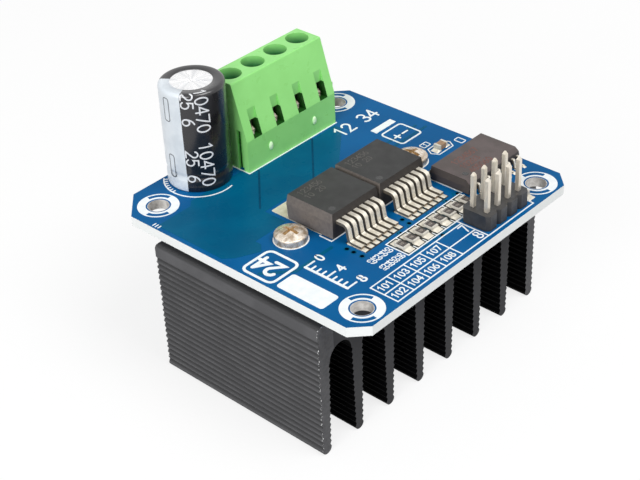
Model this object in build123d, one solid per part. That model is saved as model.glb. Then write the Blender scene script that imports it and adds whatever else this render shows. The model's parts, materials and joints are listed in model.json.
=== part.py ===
from build123d import *
import math
import os

os.makedirs("parts", exist_ok=True)

# Everything is drawn round the board's middle, and placed at the end so that the origin lies
# under the middle of the whole module. +X runs along the header edge, +Y points to the
# terminal block and +Z is up. The fin tips stand at zero. All sizes are in millimetres.

# Circuit board
board_length = 50.0
board_depth = 50.0
board_thickness = 1.6
board_front_chamfer = 2.5
board_back_chamfer = 4.4
board_hole_diameter = 3.4
board_hole_inset_x = 4.65
board_hole_inset_front = 3.65
board_hole_inset_back = 5.4

# Heat sink: one extrusion along Y with its fins pointing down
fin_count = 8
fin_pitch = 7.1
fin_length = 18.5
fin_tip_thickness = 1.75
outer_fin_overhang = 1.0
channel_root_width = 4.6
heat_sink_base = 4.7
heat_sink_front_inset = 7.15
heat_sink_back_inset = 10.15
heat_sink_corner_radius = 0.6
ridge_pitch = 1.0
ridge_depth = 0.25
plain_band = 2.0

# Thermal pad and the two screws that clamp the board to the heat sink
pad_thickness = 0.7
pad_side_inset = 4.85
pad_end_inset = 4.35
clamp_screw_length = 6.0
clamp_screw_inset_y = 22.6
clamp_screw_spacing = 27.85
clamp_screw_diameter = 3.0
clamp_head_diameter = 5.1
clamp_head_height = 1.85
clamp_head_rim = 1.15
clamp_head_round = 0.3
clamp_hole_clearance = 0.1
clamp_cross_width = 0.6
clamp_cross_length = 2.9
clamp_cross_depth = 1.0

# Terminal block: two interlocking housings with two poles each
terminal_pitch = 5.08
terminal_centre_x = 5.15
terminal_depth = 9.8
terminal_height = 14.8
terminal_step_height = 5.5
terminal_shoulder_height = 8.6
terminal_slope_run = 2.7
terminal_front_run = 1.9
terminal_edge_radius = 0.25
chamber_width = 3.9
chamber_rear_wall = 2.7
chamber_front_wall = 1.3
chamber_height = 10.3
screw_ledge_height = 11.2
terminal_screw_hole = 3.8
terminal_screw_offset = 5.4
wire_entry_width = 3.4
wire_entry_height = 3.6
wire_entry_bottom = 1.7
wire_entry_funnel = 0.35
slot_top_height = 10.2
slot_width = 1.7
slot_window_width = 1.5
slot_window_height = 2.6
slot_window_wall = 0.4
dovetail_offset = 1.6
dovetail_root_width = 1.0
dovetail_tip_width = 1.4
dovetail_depth = 0.6
dovetail_height = 7.0
dovetail_clearance = 0.05
nub_width = 0.9
nub_height = 1.5
nub_depth = 0.35
nub_centre_height = 2.7

# Clamp screws, cages and contacts in the terminal block
terminal_head_diameter = 3.5
terminal_head_height = 1.7
terminal_head_gap = 0.1
terminal_thread_diameter = 2.4
terminal_slot_width = 0.6
terminal_slot_depth = 0.8
terminal_tip_gap = 0.05
running_clearance = 0.05
contact_top = 5.4
contact_thickness = 0.6
contact_width = 2.2
contact_front_gap = 0.7
contact_wall_gap = 0.05
contact_side_gap = 0.2
contact_pin_width = 1.0
contact_pin_length = 3.0
cage_width = 3.7
cage_depth = 4.4
cage_wall_gap = 0.1
cage_side_wall = 0.55
cage_floor = 0.7
cage_roof = 1.6
cage_wire_gap = 2.4
cage_roof_gap = 0.9
terminal_board_hole = 1.3

# Electrolytic capacitor
capacitor_x = -10.2
capacitor_inset_y = 4.15
capacitor_diameter = 10.0
capacitor_height = 17.0
capacitor_shoulder_radius = 0.5
capacitor_bead_height = 2.6
capacitor_bead_depth = 0.3
capacitor_bead_half = 0.7
sleeve_thickness = 0.12
sleeve_window_diameter = 7.0
bung_diameter = 8.8
bung_height = 2.0
vent_groove_length = 5.0
vent_groove_width = 0.25
vent_groove_depth = 0.12
capacitor_lead_spacing = 5.0
capacitor_lead_diameter = 0.6
capacitor_lead_length = 3.0
capacitor_lead_grip = 1.4
capacitor_board_hole = 0.9

# Power driver chips
driver_pitch = 10.65
driver_centre_x = -0.37
driver_inset_y = 26.7
driver_width = 10.1
driver_depth = 9.2
driver_height = 4.4
driver_parting_height = 2.85
driver_upper_draft = 7.0
driver_lower_draft = 3.0
driver_lead_count = 7
driver_lead_pitch = 1.27
driver_lead_width = 0.75
driver_lead_thickness = 0.5
driver_lead_shoulder = 1.85
driver_lead_heel = 2.35
driver_lead_reach = 4.75
driver_lead_radius = 0.7
driver_lead_grip = 0.8
driver_lead_offset = -0.1
driver_tab_width = 9.4
driver_tab_thickness = 1.25
driver_tab_overhang = 1.3
driver_tab_grip = 6.5
driver_tab_notch = 1.0
driver_standoff = 0.1

# Logic chip
logic_x = 17.4
logic_inset_y = 13.1
logic_length = 12.8
logic_width = 7.5
logic_height = 2.6
logic_standoff = 0.2
logic_draft = 6.0
logic_bevel = 0.6
logic_lead_count = 10
logic_lead_pitch = 1.27
logic_lead_width = 0.42
logic_lead_thickness = 0.25
logic_lead_span = 10.3
logic_lead_foot = 0.7
logic_lead_grip = 0.5

# Pin header
header_centre_x = 10.0
header_inset_y = 3.75
header_pitch = 2.54
header_columns = 4
header_rows = 2
header_base_height = 2.54
header_corner_cut = 0.55
header_pin_size = 0.64
header_pin_top = 8.3
header_pin_tail = 3.0
header_tip_taper = 0.2
header_tip_length = 0.45
header_board_hole = 1.0

# Chip resistors and chip capacitors
chip_count = 8
chip_pitch = 2.17
chip_first_x = -5.6
chip_inset_y = 8.8
chip_length = 2.0
chip_width = 1.25
chip_height = 0.5
chip_cap_length = 0.4
chip_cap_lip = 0.05
ceramic_height = 0.85
ceramic_spots = ((19.6, 21.6, 0.0), (16.25, 3.4, 90.0))

# Solder joints under the board
solder_radius = 0.95
solder_height = 0.8
solder_sides = 8

# Heights and places worked out from the sizes above
heat_sink_height = fin_length + heat_sink_base
heat_sink_width = (fin_count - 1) * fin_pitch + 2 * outer_fin_overhang
board_bottom = heat_sink_height + pad_thickness
board_top = board_bottom + board_thickness
board_right = board_length / 2
board_back = board_depth / 2
terminal_rear_y = board_back - terminal_depth
terminal_screw_y = terminal_rear_y + terminal_screw_offset
slot_share = (slot_top_height - terminal_step_height) / (terminal_height - terminal_step_height)
slot_back_y = terminal_rear_y + terminal_slope_run * slot_share
window_back_y = slot_back_y + slot_window_wall
contact_leg_y = window_back_y + contact_wall_gap + contact_thickness / 2
capacitor_y = board_back - capacitor_inset_y
capacitor_overhang = max(0.0, capacitor_diameter / 2 + sleeve_thickness - capacitor_inset_y)
header_y = -board_back + header_inset_y
chip_y = -board_back + chip_inset_y
logic_y = -board_back + logic_inset_y
driver_back_y = -board_back + driver_inset_y
clamp_screw_y = -board_back + clamp_screw_inset_y
heat_sink_front_y = -board_back + heat_sink_front_inset
heat_sink_back_y = board_back - heat_sink_back_inset


def pole_x(index):
    """Centre of a terminal pole."""
    return terminal_centre_x + (index - 1.5) * terminal_pitch


def clamp_screw_xs():
    """Centres of the heat sink's screws, one on each side of the driver chips."""
    half = clamp_screw_spacing / 2
    return (driver_centre_x - half, driver_centre_x + half)


def board_holes():
    """Centres of the four fixing holes."""
    x = board_right - board_hole_inset_x
    front = -board_back + board_hole_inset_front
    back = board_back - board_hole_inset_back
    return [(-x, front), (x, front), (x, back), (-x, back)]


def header_pins():
    """Centres of the header's pins, row by row."""
    spots = []
    for row in range(header_rows):
        for column in range(header_columns):
            x = header_centre_x + (column - (header_columns - 1) / 2) * header_pitch
            y = header_y + (row - (header_rows - 1) / 2) * header_pitch
            spots.append((x, y))
    return spots


def capacitor_leads():
    """Centres of the capacitor's leads, negative first."""
    half = capacitor_lead_spacing / 2
    return [(capacitor_x - half, capacitor_y), (capacitor_x + half, capacitor_y)]


def post(diameter, bottom, top, x, y):
    """Upright cylinder between two heights."""
    place = Pos(x, y, (bottom + top) / 2)
    return place * Cylinder(diameter / 2, top - bottom)


def block(x_low, x_high, y_low, y_high, z_low, z_high):
    """Box between two corners."""
    place = Pos((x_low + x_high) / 2, (y_low + y_high) / 2, (z_low + z_high) / 2)
    return place * Box(x_high - x_low, y_high - y_low, z_high - z_low)


def plan(points, bottom, top):
    """Upright prism on a closed outline of x and y points."""
    wire = Wire.make_polygon([(x, y, bottom) for x, y in points])
    return extrude(Face(wire), top - bottom, dir=(0, 0, 1))


def side_section(points, x_low, x_high):
    """Prism along X on a closed outline of y and z points."""
    wire = Wire.make_polygon([(x_low, y, z) for y, z in points])
    return extrude(Face(wire), x_high - x_low, dir=(1, 0, 0))


def circuit_board():
    """Board with its chamfered corners and every through hole."""
    r, b = board_right, board_back
    f, k = board_front_chamfer, board_back_chamfer
    outline = [(-r, -b + f), (-r + f, -b), (r - f, -b), (r, -b + f),
               (r, b - k), (r - k, b), (-r + k, b), (-r, b - k)]
    board = plan(outline, board_bottom, board_top)
    drills = [(board_hole_diameter, spot) for spot in board_holes()]
    screw_hole = clamp_screw_diameter + 2 * clamp_hole_clearance
    drills += [(screw_hole, (x, clamp_screw_y)) for x in clamp_screw_xs()]
    drills += [(header_board_hole, spot) for spot in header_pins()]
    drills += [(terminal_board_hole, (pole_x(i), contact_leg_y)) for i in range(4)]
    drills += [(capacitor_board_hole, spot) for spot in capacitor_leads()]
    for diameter, (x, y) in drills:
        board -= post(diameter, board_bottom - 1, board_top + 1, x, y)
    return board


def ridged_wall(x_high, z_high, x_low, z_low, into):
    """Points down a fin's ridged side; 'into' is the direction into the metal."""
    count = max(1, round((z_high - z_low) / ridge_pitch))
    points = []
    for step in range(2 * count + 1):
        share = step / (2 * count)
        depth = ridge_depth if step % 2 else 0.0
        x = x_high + (x_low - x_high) * share + into * depth
        points.append((x, z_high + (z_low - z_high) * share))
    return points


def heat_sink_edges():
    """Section of the extrusion, drawn fin by fin from left to right."""
    y = heat_sink_front_y
    radius = channel_root_width / 2
    spring = fin_length - radius
    half = heat_sink_width / 2
    bend = heat_sink_corner_radius * (1 - math.sqrt(0.5))
    top = heat_sink_height
    plain_end = top - plain_band

    def line(points):
        return Polyline(*[(x, y, z) for x, z in points]).edges()

    def arc(*points):
        return [ThreePointArc(*[(x, y, z) for x, z in points]).edge()]

    edges = line([(-half, top - heat_sink_corner_radius), (-half, plain_end)])
    for fin in range(fin_count):
        centre = (fin - (fin_count - 1) / 2) * fin_pitch
        left_tip = -half if fin == 0 else centre - fin_tip_thickness / 2
        right_tip = half if fin == fin_count - 1 else centre + fin_tip_thickness / 2
        rounding = (right_tip - left_tip) / 2
        left_root = -half if fin == 0 else centre - fin_pitch / 2 + radius
        left_start = plain_end if fin == 0 else spring
        edges += line(ridged_wall(left_root, left_start, left_tip, rounding, 1))
        edges += arc((left_tip, rounding), ((left_tip + right_tip) / 2, 0), (right_tip, rounding))
        if fin == fin_count - 1:
            right_root, right_start = half, plain_end
        else:
            right_root, right_start = centre + fin_pitch / 2 - radius, spring
        edges += line(reversed(ridged_wall(right_root, right_start, right_tip, rounding, -1)))
        if fin < fin_count - 1:
            middle = centre + fin_pitch / 2
            edges += arc((middle - radius, spring), (middle, fin_length), (middle + radius, spring))
    edges += line([(half, plain_end), (half, top - heat_sink_corner_radius)])
    edges += arc((half, top - heat_sink_corner_radius), (half - bend, top - bend),
                 (half - heat_sink_corner_radius, top))
    edges += line([(half - heat_sink_corner_radius, top), (-half + heat_sink_corner_radius, top)])
    edges += arc((-half + heat_sink_corner_radius, top), (-half + bend, top - bend),
                 (-half, top - heat_sink_corner_radius))
    return edges


def heat_sink():
    """Extruded heat sink with its two threaded holes."""
    length = heat_sink_back_y - heat_sink_front_y
    sink = extrude(Face(Wire(heat_sink_edges())), length, dir=(0, 1, 0))
    for x in clamp_screw_xs():
        bottom = fin_length - channel_root_width / 2
        sink -= post(clamp_screw_diameter, bottom, heat_sink_height + 1, x, clamp_screw_y)
    return sink


def thermal_pad():
    """Soft pad between board and heat sink, cleared round the two screws."""
    half = heat_sink_width / 2 - pad_side_inset
    pad = block(-half, half, heat_sink_front_y + pad_end_inset, heat_sink_back_y - pad_end_inset,
                heat_sink_height, board_bottom)
    hole = clamp_screw_diameter + 4 * clamp_hole_clearance
    for x in clamp_screw_xs():
        pad -= post(hole, heat_sink_height - 1, board_bottom + 1, x, clamp_screw_y)
    return pad


def heat_sink_screw(x):
    """Pan-head screw with a cross recess."""
    radius = clamp_head_diameter / 2
    rim = board_top + clamp_head_rim
    top = board_top + clamp_head_height
    dome = top - rim
    quarter = radius / 2
    profile = Wire([
        Line((0, 0, board_top), (radius, 0, board_top)),
        Line((radius, 0, board_top), (radius, 0, rim)),
        ThreePointArc((radius, 0, rim), (quarter, 0, top - dome / 4), (0, 0, top)),
        Line((0, 0, top), (0, 0, board_top)),
    ])
    head = revolve(Face(profile), Axis.Z)
    head = fillet(head.edges().filter_by(lambda e: abs(e.center().Z - rim) < 0.01), clamp_head_round)
    half = clamp_cross_length / 2
    width = clamp_cross_width / 2
    deep = top - clamp_cross_depth
    cross = block(-half, half, -width, width, deep, top + 1)
    cross += block(-width, width, -half, half, deep, top + 1)
    head = Pos(x, clamp_screw_y, 0) * (head - cross)
    bottom = board_top - clamp_screw_length
    shank = post(clamp_screw_diameter, bottom, board_top, x, clamp_screw_y)
    return head + chamfer(shank.edges().group_by(Axis.Z)[0], clamp_screw_diameter * 0.12)


def terminal_shell(x_low, x_high):
    """Outer form of one housing: flat top, sloped rear, shouldered wire side."""
    rear, front = terminal_rear_y, board_back
    profile = [(rear, board_top), (rear, board_top + terminal_step_height),
               (rear + terminal_slope_run, board_top + terminal_height),
               (front - terminal_front_run, board_top + terminal_height),
               (front, board_top + terminal_shoulder_height), (front, board_top)]
    shell = side_section(profile, x_low, x_high)
    edges = shell.edges().filter_by(Axis.X).filter_by(lambda e: e.center().Z > board_top + 1)
    return fillet(edges, terminal_edge_radius)


def dovetail(x, clearance, height):
    """Dovetail prism that points along +X from the face at x."""
    middle = terminal_rear_y + dovetail_offset
    root = dovetail_root_width / 2 + clearance
    tip = dovetail_tip_width / 2 + clearance
    reach = x + dovetail_depth + clearance
    outline = [(x, middle - root), (reach, middle - tip), (reach, middle + tip), (x, middle + root)]
    return plan(outline, board_top, board_top + height)


def pole_hollow(x):
    """Everything that is cut out of a housing for one pole."""
    rear = terminal_rear_y
    half = chamber_width / 2
    inner_rear = rear + chamber_rear_wall
    inner_front = board_back - chamber_front_wall
    hollow = block(x - half, x + half, inner_rear, inner_front,
                   board_top - 1, board_top + chamber_height)
    hollow += post(terminal_screw_hole, board_top + screw_ledge_height,
                   board_top + terminal_height + 1, x, terminal_screw_y)
    shank_hole = terminal_thread_diameter + 4 * running_clearance
    hollow += post(shank_hole, board_top + chamber_height - 1,
                   board_top + screw_ledge_height + 1, x, terminal_screw_y)
    hollow += wire_entry(x, inner_front)
    step = board_top + terminal_step_height
    hollow += block(x - slot_width / 2, x + slot_width / 2, rear - 1, slot_back_y,
                    step, board_top + slot_top_height)
    window = slot_window_width / 2
    hollow += block(x - window, x + window, rear, inner_rear + 1,
                    step, step + slot_window_height)
    groove = contact_width / 2 + contact_side_gap
    hollow += block(x - groove, x + groove, window_back_y, inner_rear + 1,
                    board_top - 1, step + slot_window_height)
    return hollow


def wire_entry(x, inner_front):
    """Round-topped wire hole with a funnel at its mouth."""
    half = wire_entry_width / 2
    low = board_top + wire_entry_bottom
    high = low + wire_entry_height
    corner = wire_entry_width * 0.3

    def mouth(grow, y):
        sketch = RectangleRounded(2 * (half + grow), wire_entry_height + 2 * grow, corner + grow)
        return Pos(x, y, (low + high) / 2) * Rot(90, 0, 0) * sketch

    tunnel = extrude(mouth(0, board_back + 1), board_back + 2 - inner_front, dir=(0, -1, 0))
    funnel = loft([mouth(0, board_back - wire_entry_funnel * 2).face(),
                   mouth(wire_entry_funnel, board_back + 0.01).face()])
    return tunnel + funnel


def terminal_housing(first_pole):
    """Two-pole housing: groove on its left end, dovetail rib on its right end."""
    x_low = pole_x(first_pole) - terminal_pitch / 2
    x_high = x_low + 2 * terminal_pitch
    middle = (x_low + x_high) / 2
    housing = terminal_shell(x_low, x_high)
    for index in (first_pole, first_pole + 1):
        housing -= pole_hollow(pole_x(index))
    housing -= dovetail(x_low, dovetail_clearance, dovetail_height + dovetail_clearance)
    housing += dovetail(x_high, 0, dovetail_height)
    nub = Pos(middle, terminal_rear_y, board_top + nub_centre_height) * scale(
        Sphere(1), (nub_width / 2, nub_depth, nub_height / 2))
    return housing + nub


def terminal_screw(x):
    """Slotted clamp screw that turns on the housing's ledge."""
    low = board_top + screw_ledge_height + terminal_head_gap
    top = low + terminal_head_height
    head = post(terminal_head_diameter, low, top, x, terminal_screw_y)
    head = chamfer(head.edges().group_by(Axis.Z)[-1], terminal_head_height * 0.12)
    slot = terminal_slot_width / 2
    head -= block(x - slot, x + slot, terminal_screw_y - terminal_head_diameter,
                  terminal_screw_y + terminal_head_diameter, top - terminal_slot_depth, top + 1)
    tip = board_top + contact_top + terminal_tip_gap
    shank = post(terminal_thread_diameter, tip, low, x, terminal_screw_y)
    return head + chamfer(shank.edges().group_by(Axis.Z)[0], terminal_thread_diameter * 0.1)


def terminal_cage(x):
    """Rising clamp cage, drawn at its lowest with the wire gap open."""
    y_low = terminal_rear_y + chamber_rear_wall + cage_wall_gap
    y_high = y_low + cage_depth
    bar_bottom = board_top + contact_top - contact_thickness
    floor_top = bar_bottom - cage_wire_gap
    roof_bottom = board_top + contact_top + cage_roof_gap
    half = cage_width / 2
    cage = block(x - half, x + half, y_low, y_high,
                 floor_top - cage_floor, roof_bottom + cage_roof)
    cage = chamfer(cage.edges().filter_by(Axis.Y), cage_side_wall * 0.5)
    cage -= block(x - half + cage_side_wall, x + half - cage_side_wall,
                  y_low - 1, y_high + 1, floor_top, roof_bottom)
    bore = terminal_thread_diameter + 2 * running_clearance
    return cage - post(bore, roof_bottom - 0.5, roof_bottom + cage_roof + 1, x, terminal_screw_y)


def terminal_contact(x):
    """Bent strip: a bar inside the cage and a solder pin through the board."""
    half = contact_width / 2
    y_low = contact_leg_y - contact_thickness / 2
    y_high = board_back - chamber_front_wall - contact_front_gap
    top = board_top + contact_top
    profile = [(y_low, board_top), (y_low, top), (y_high, top), (y_high, top - contact_thickness),
               (y_low + contact_thickness, top - contact_thickness),
               (y_low + contact_thickness, board_top)]
    strip = side_section(profile, x - half, x + half)
    bend = strip.edges().filter_by(Axis.X).sort_by(lambda e: e.center().Z - e.center().Y)[-1]
    strip = fillet(bend, contact_thickness * 0.8)
    pin = contact_pin_width / 2
    strip += block(x - pin, x + pin, y_low, y_low + contact_thickness,
                   board_top - contact_pin_length, board_top)
    return strip


def can_outline(radius, bottom):
    """Side of the can with its rolled bead, from the bottom up."""
    bead = board_top + capacitor_bead_height
    half, depth = capacitor_bead_half, capacitor_bead_depth
    groove = [(radius, bottom), (radius, bead - half), (radius - depth, bead - half * 0.3),
              (radius - depth, bead + half * 0.3), (radius, bead + half)]
    return Polyline(*[(x, 0, z) for x, z in groove]).edges()


def capacitor_can():
    """Aluminium can with its bead, rounded shoulder and scored vent."""
    radius = capacitor_diameter / 2
    top = board_top + capacitor_height - sleeve_thickness
    bend = capacitor_shoulder_radius
    bead_end = board_top + capacitor_bead_height + capacitor_bead_half
    bung_top = board_top + bung_height
    cut = bend * (1 - math.sqrt(0.5))
    low = board_top + sleeve_thickness
    profile = Wire([
        *can_outline(radius, low),
        Line((radius, 0, bead_end), (radius, 0, top - bend)),
        ThreePointArc((radius, 0, top - bend), (radius - cut, 0, top - cut), (radius - bend, 0, top)),
        Line((radius - bend, 0, top), (0, 0, top)),
        Line((0, 0, top), (0, 0, bung_top)),
        Line((0, 0, bung_top), (bung_diameter / 2, 0, bung_top)),
        Line((bung_diameter / 2, 0, bung_top), (bung_diameter / 2, 0, low)),
        Line((bung_diameter / 2, 0, low), (radius, 0, low)),
    ])
    can = revolve(Face(profile), Axis.Z)
    for turn in (0, 60, 120):
        groove = Box(vent_groove_length, vent_groove_width, 2 * vent_groove_depth)
        can -= Pos(0, 0, top) * Rot(0, 0, turn) * groove
    return Pos(capacitor_x, capacitor_y, 0) * can


def capacitor_sleeve():
    """Shrink sleeve that wraps the can, folds over its shoulder and under its rim."""
    radius = capacitor_diameter / 2
    outer = radius + sleeve_thickness
    top = board_top + capacitor_height
    bend = capacitor_shoulder_radius
    inner_top = top - sleeve_thickness
    bead_end = board_top + capacitor_bead_height + capacitor_bead_half
    window = sleeve_window_diameter / 2
    cut = bend * (1 - math.sqrt(0.5))
    outer_bend = bend + sleeve_thickness
    outer_cut = outer_bend * (1 - math.sqrt(0.5))
    low = board_top + sleeve_thickness
    profile = Wire([
        *can_outline(outer, board_top),
        Line((outer, 0, bead_end), (outer, 0, top - outer_bend)),
        ThreePointArc((outer, 0, top - outer_bend), (outer - outer_cut, 0, top - outer_cut),
                      (outer - outer_bend, 0, top)),
        Line((outer - outer_bend, 0, top), (window, 0, top)),
        Line((window, 0, top), (window, 0, inner_top)),
        Line((window, 0, inner_top), (radius - bend, 0, inner_top)),
        ThreePointArc((radius - bend, 0, inner_top), (radius - cut, 0, inner_top - cut),
                      (radius, 0, inner_top - bend)),
        Line((radius, 0, inner_top - bend), (radius, 0, bead_end)),
        *can_outline(radius, low),
        Line((radius, 0, low), (bung_diameter / 2, 0, low)),
        Line((bung_diameter / 2, 0, low), (bung_diameter / 2, 0, board_top)),
        Line((bung_diameter / 2, 0, board_top), (outer, 0, board_top)),
    ])
    return Pos(capacitor_x, capacitor_y, 0) * revolve(Face(profile), Axis.Z)


def capacitor_bung():
    """Rubber bung that seals the can and holds the leads."""
    bung = post(bung_diameter, board_top, board_top + bung_height, capacitor_x, capacitor_y)
    for x, y in capacitor_leads():
        bung -= post(capacitor_lead_diameter, board_top - 1, board_top + capacitor_lead_grip, x, y)
    return bung


def capacitor_lead(spot):
    """Wire lead from the bung through the board."""
    x, y = spot
    low = board_top - capacitor_lead_length
    return post(capacitor_lead_diameter, low, board_top + capacitor_lead_grip, x, y)


def strip_section(points, radius, thickness, x_low, x_high):
    """Bent flat strip that follows y and z points, with a round at each corner."""
    path = [Vector(0, y, z) for y, z in points]
    headings = [(b - a).normalized() for a, b in zip(path, path[1:])]

    def side(sign):
        line, radii = [], []
        for index, point in enumerate(path):
            before = headings[max(index - 1, 0)]
            after = headings[min(index, len(headings) - 1)]
            normal_a, normal_b = Vector(0, -before.Z, before.Y), Vector(0, -after.Z, after.Y)
            middle = (normal_a + normal_b).normalized()
            reach = sign * thickness / 2 / middle.dot(normal_b)
            line.append(point + middle * reach)
            turn = before.Y * after.Z - before.Z * after.Y
            if 0 < index < len(path) - 1:
                radii.append(radius - sign * math.copysign(thickness / 2, turn))
        return line, radii

    edges, ends = [], []
    for sign in (1, -1):
        line, radii = side(sign)
        edges += FilletPolyline(*[(x_low, p.Y, p.Z) for p in line], radius=radii).edges()
        ends.append((line[0], line[-1]))
    for a, b in ((ends[0][0], ends[1][0]), (ends[0][1], ends[1][1])):
        edges.append(Line((x_low, a.Y, a.Z), (x_low, b.Y, b.Z)).edge())
    return extrude(Face(Wire(edges)), x_high - x_low, dir=(1, 0, 0))


def driver_x(index):
    """Centre of a driver chip: 0 on the left, 1 on the right."""
    return driver_centre_x + (index - 0.5) * driver_pitch


def driver_body(index):
    """Moulded body that tapers above and below its parting line, open over the tab."""
    x = driver_x(index)
    y = driver_back_y - driver_depth / 2
    plate = Pos(x, y, board_top + driver_parting_height) * Rectangle(driver_width, driver_depth)
    upper = extrude(plate, driver_height - driver_parting_height, taper=driver_upper_draft)
    lower = extrude(plate, -(driver_parting_height - driver_standoff), taper=driver_lower_draft)
    body = upper + lower
    body -= driver_tab(index)
    for lead in driver_leads(index):
        body -= lead
    return body


def driver_tab(index):
    """Metal tab under the body, with its end past the back and two corner notches."""
    x = driver_x(index)
    half = driver_tab_width / 2
    back = driver_back_y + driver_tab_overhang
    n = driver_tab_notch
    front = driver_back_y - driver_tab_grip
    outline = [(x - half, front), (x + half, front), (x + half, back - n), (x + half - n, back),
               (x - half + n, back), (x - half, back - n)]
    return plan(outline, board_top, board_top + driver_tab_thickness)


def driver_leads(index):
    """Seven gull-wing leads of one driver chip."""
    front = driver_back_y - driver_depth
    half = driver_lead_width / 2
    middle = board_top + driver_parting_height
    foot = board_top + driver_lead_thickness / 2
    points = [(front + driver_lead_grip, middle), (front - driver_lead_shoulder, middle),
              (front - driver_lead_heel, foot), (front - driver_lead_reach, foot)]
    leads = []
    for lead in range(driver_lead_count):
        x = driver_x(index) + driver_lead_offset
        x += (lead - (driver_lead_count - 1) / 2) * driver_lead_pitch
        leads.append(strip_section(points, driver_lead_radius, driver_lead_thickness, x - half, x + half))
    return leads


def logic_chip_body():
    """Wide body with a bevel along its first long edge and draft on all sides."""
    middle = board_top + (logic_height + logic_standoff) / 2
    plate = Pos(logic_x, logic_y, middle) * Rectangle(logic_length, logic_width)
    half_height = (logic_height - logic_standoff) / 2
    body = extrude(plate, half_height, taper=logic_draft)
    body += extrude(plate, -half_height, taper=logic_draft)
    body = chamfer(body.edges().filter_by(Axis.X).group_by(Axis.Z)[-1].sort_by(Axis.Y)[0], logic_bevel)
    for lead in logic_chip_leads():
        body -= lead
    return body


def logic_chip_leads():
    """Ten leads on each long side."""
    root = logic_width / 2 - logic_lead_grip
    toe = logic_lead_span / 2
    middle = board_top + (logic_height + logic_standoff) / 2
    half = logic_lead_width / 2
    t = logic_lead_thickness
    knee = logic_width / 2 + (toe - logic_lead_foot - logic_width / 2) * 0.5
    heel = toe - logic_lead_foot
    leads = []
    for side in (-1, 1):
        profile = [(root, middle - t / 2), (knee - t * 0.6, middle - t / 2), (heel - t, board_top + t * 0.6),
                   (heel - t * 0.6, board_top), (toe, board_top), (toe, board_top + t),
                   (heel + t * 0.2, board_top + t), (knee + t * 0.6, middle), (knee, middle + t / 2),
                   (root, middle + t / 2)]
        outline = [(logic_y + side * y, z) for y, z in profile]
        for lead in range(logic_lead_count):
            x = logic_x + (lead - (logic_lead_count - 1) / 2) * logic_lead_pitch
            leads.append(side_section(outline, x - half, x + half))
    return leads


def header_base():
    """Base with cut corners between its positions, and a square hole for each pin."""
    cell = header_pitch / 2
    cut = header_corner_cut
    depth = header_rows * header_pitch / 2
    spots = [header_centre_x + (c - (header_columns - 1) / 2) * header_pitch for c in range(header_columns)]
    front = []
    for x in spots:
        front += [(x - cell, header_y - depth + cut), (x - cell + cut, header_y - depth),
                  (x + cell - cut, header_y - depth), (x + cell, header_y - depth + cut)]
    back = [(x, 2 * header_y - y) for x, y in reversed(front)]
    outline = [point for i, point in enumerate(front + back) if i == 0 or point != (front + back)[i - 1]]
    base = plan(outline, board_top, board_top + header_base_height)
    half = header_pin_size / 2
    for x, y in header_pins():
        base -= block(x - half, x + half, y - half, y + half, board_top - 1,
                      board_top + header_base_height + 1)
    return base


def header_pin(spot):
    """Square pin with both ends tapered."""
    x, y = spot
    size = header_pin_size
    tip = size - 2 * header_tip_taper
    low = board_top - header_pin_tail
    high = board_top + header_pin_top
    pin = Pos(x, y, (low + high) / 2) * Box(size, size, high - low - 2 * header_tip_length)
    for end, inner in ((high, high - header_tip_length), (low, low + header_tip_length)):
        sections = [Pos(x, y, inner) * Rectangle(size, size), Pos(x, y, end) * Rectangle(tip, tip)]
        pin += loft(sorted(sections, key=lambda s: s.center().Z))
    return pin


def chip(x, y, turn, height):
    """Chip part: a body with a slightly larger end cap at each end."""
    half = chip_length / 2
    body = Box(chip_length - 2 * chip_cap_length, chip_width - 2 * chip_cap_lip, height)
    body = Pos(0, 0, height / 2 + chip_cap_lip) * body
    for side in (-1, 1):
        middle = side * (half - chip_cap_length / 2)
        cap = Box(chip_cap_length, chip_width, height + 2 * chip_cap_lip)
        body += Pos(middle, 0, height / 2 + chip_cap_lip) * cap
    return Pos(x, y, board_top) * Rot(0, 0, turn) * body


def solder_joints():
    """Cone of solder round each pin and lead where it leaves the board's underside."""
    spots = [(x, y, header_pin_size, header_pin_size, header_pin_tail) for x, y in header_pins()]
    spots += [(pole_x(i), contact_leg_y, contact_pin_width, contact_thickness, contact_pin_length)
              for i in range(4)]
    joints = []
    for x, y, wide, deep, tail in spots:
        joint = solder_cone(x, y, min(solder_height, tail - board_thickness))
        joints.append(joint - block(x - wide / 2, x + wide / 2, y - deep / 2, y + deep / 2,
                                    board_bottom - 2, board_bottom + 1))
    for x, y in capacitor_leads():
        joint = solder_cone(x, y, min(solder_height, capacitor_lead_length - board_thickness))
        joints.append(joint - post(capacitor_lead_diameter, board_bottom - 2, board_bottom + 1, x, y))
    return joints


def solder_cone(x, y, height):
    """Blunt cone that hangs from the board."""
    wide = Pos(x, y, board_bottom) * RegularPolygon(solder_radius, solder_sides)
    narrow = Pos(x, y, board_bottom - height) * RegularPolygon(solder_radius * 0.7, solder_sides)
    return loft([narrow, wide])


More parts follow.
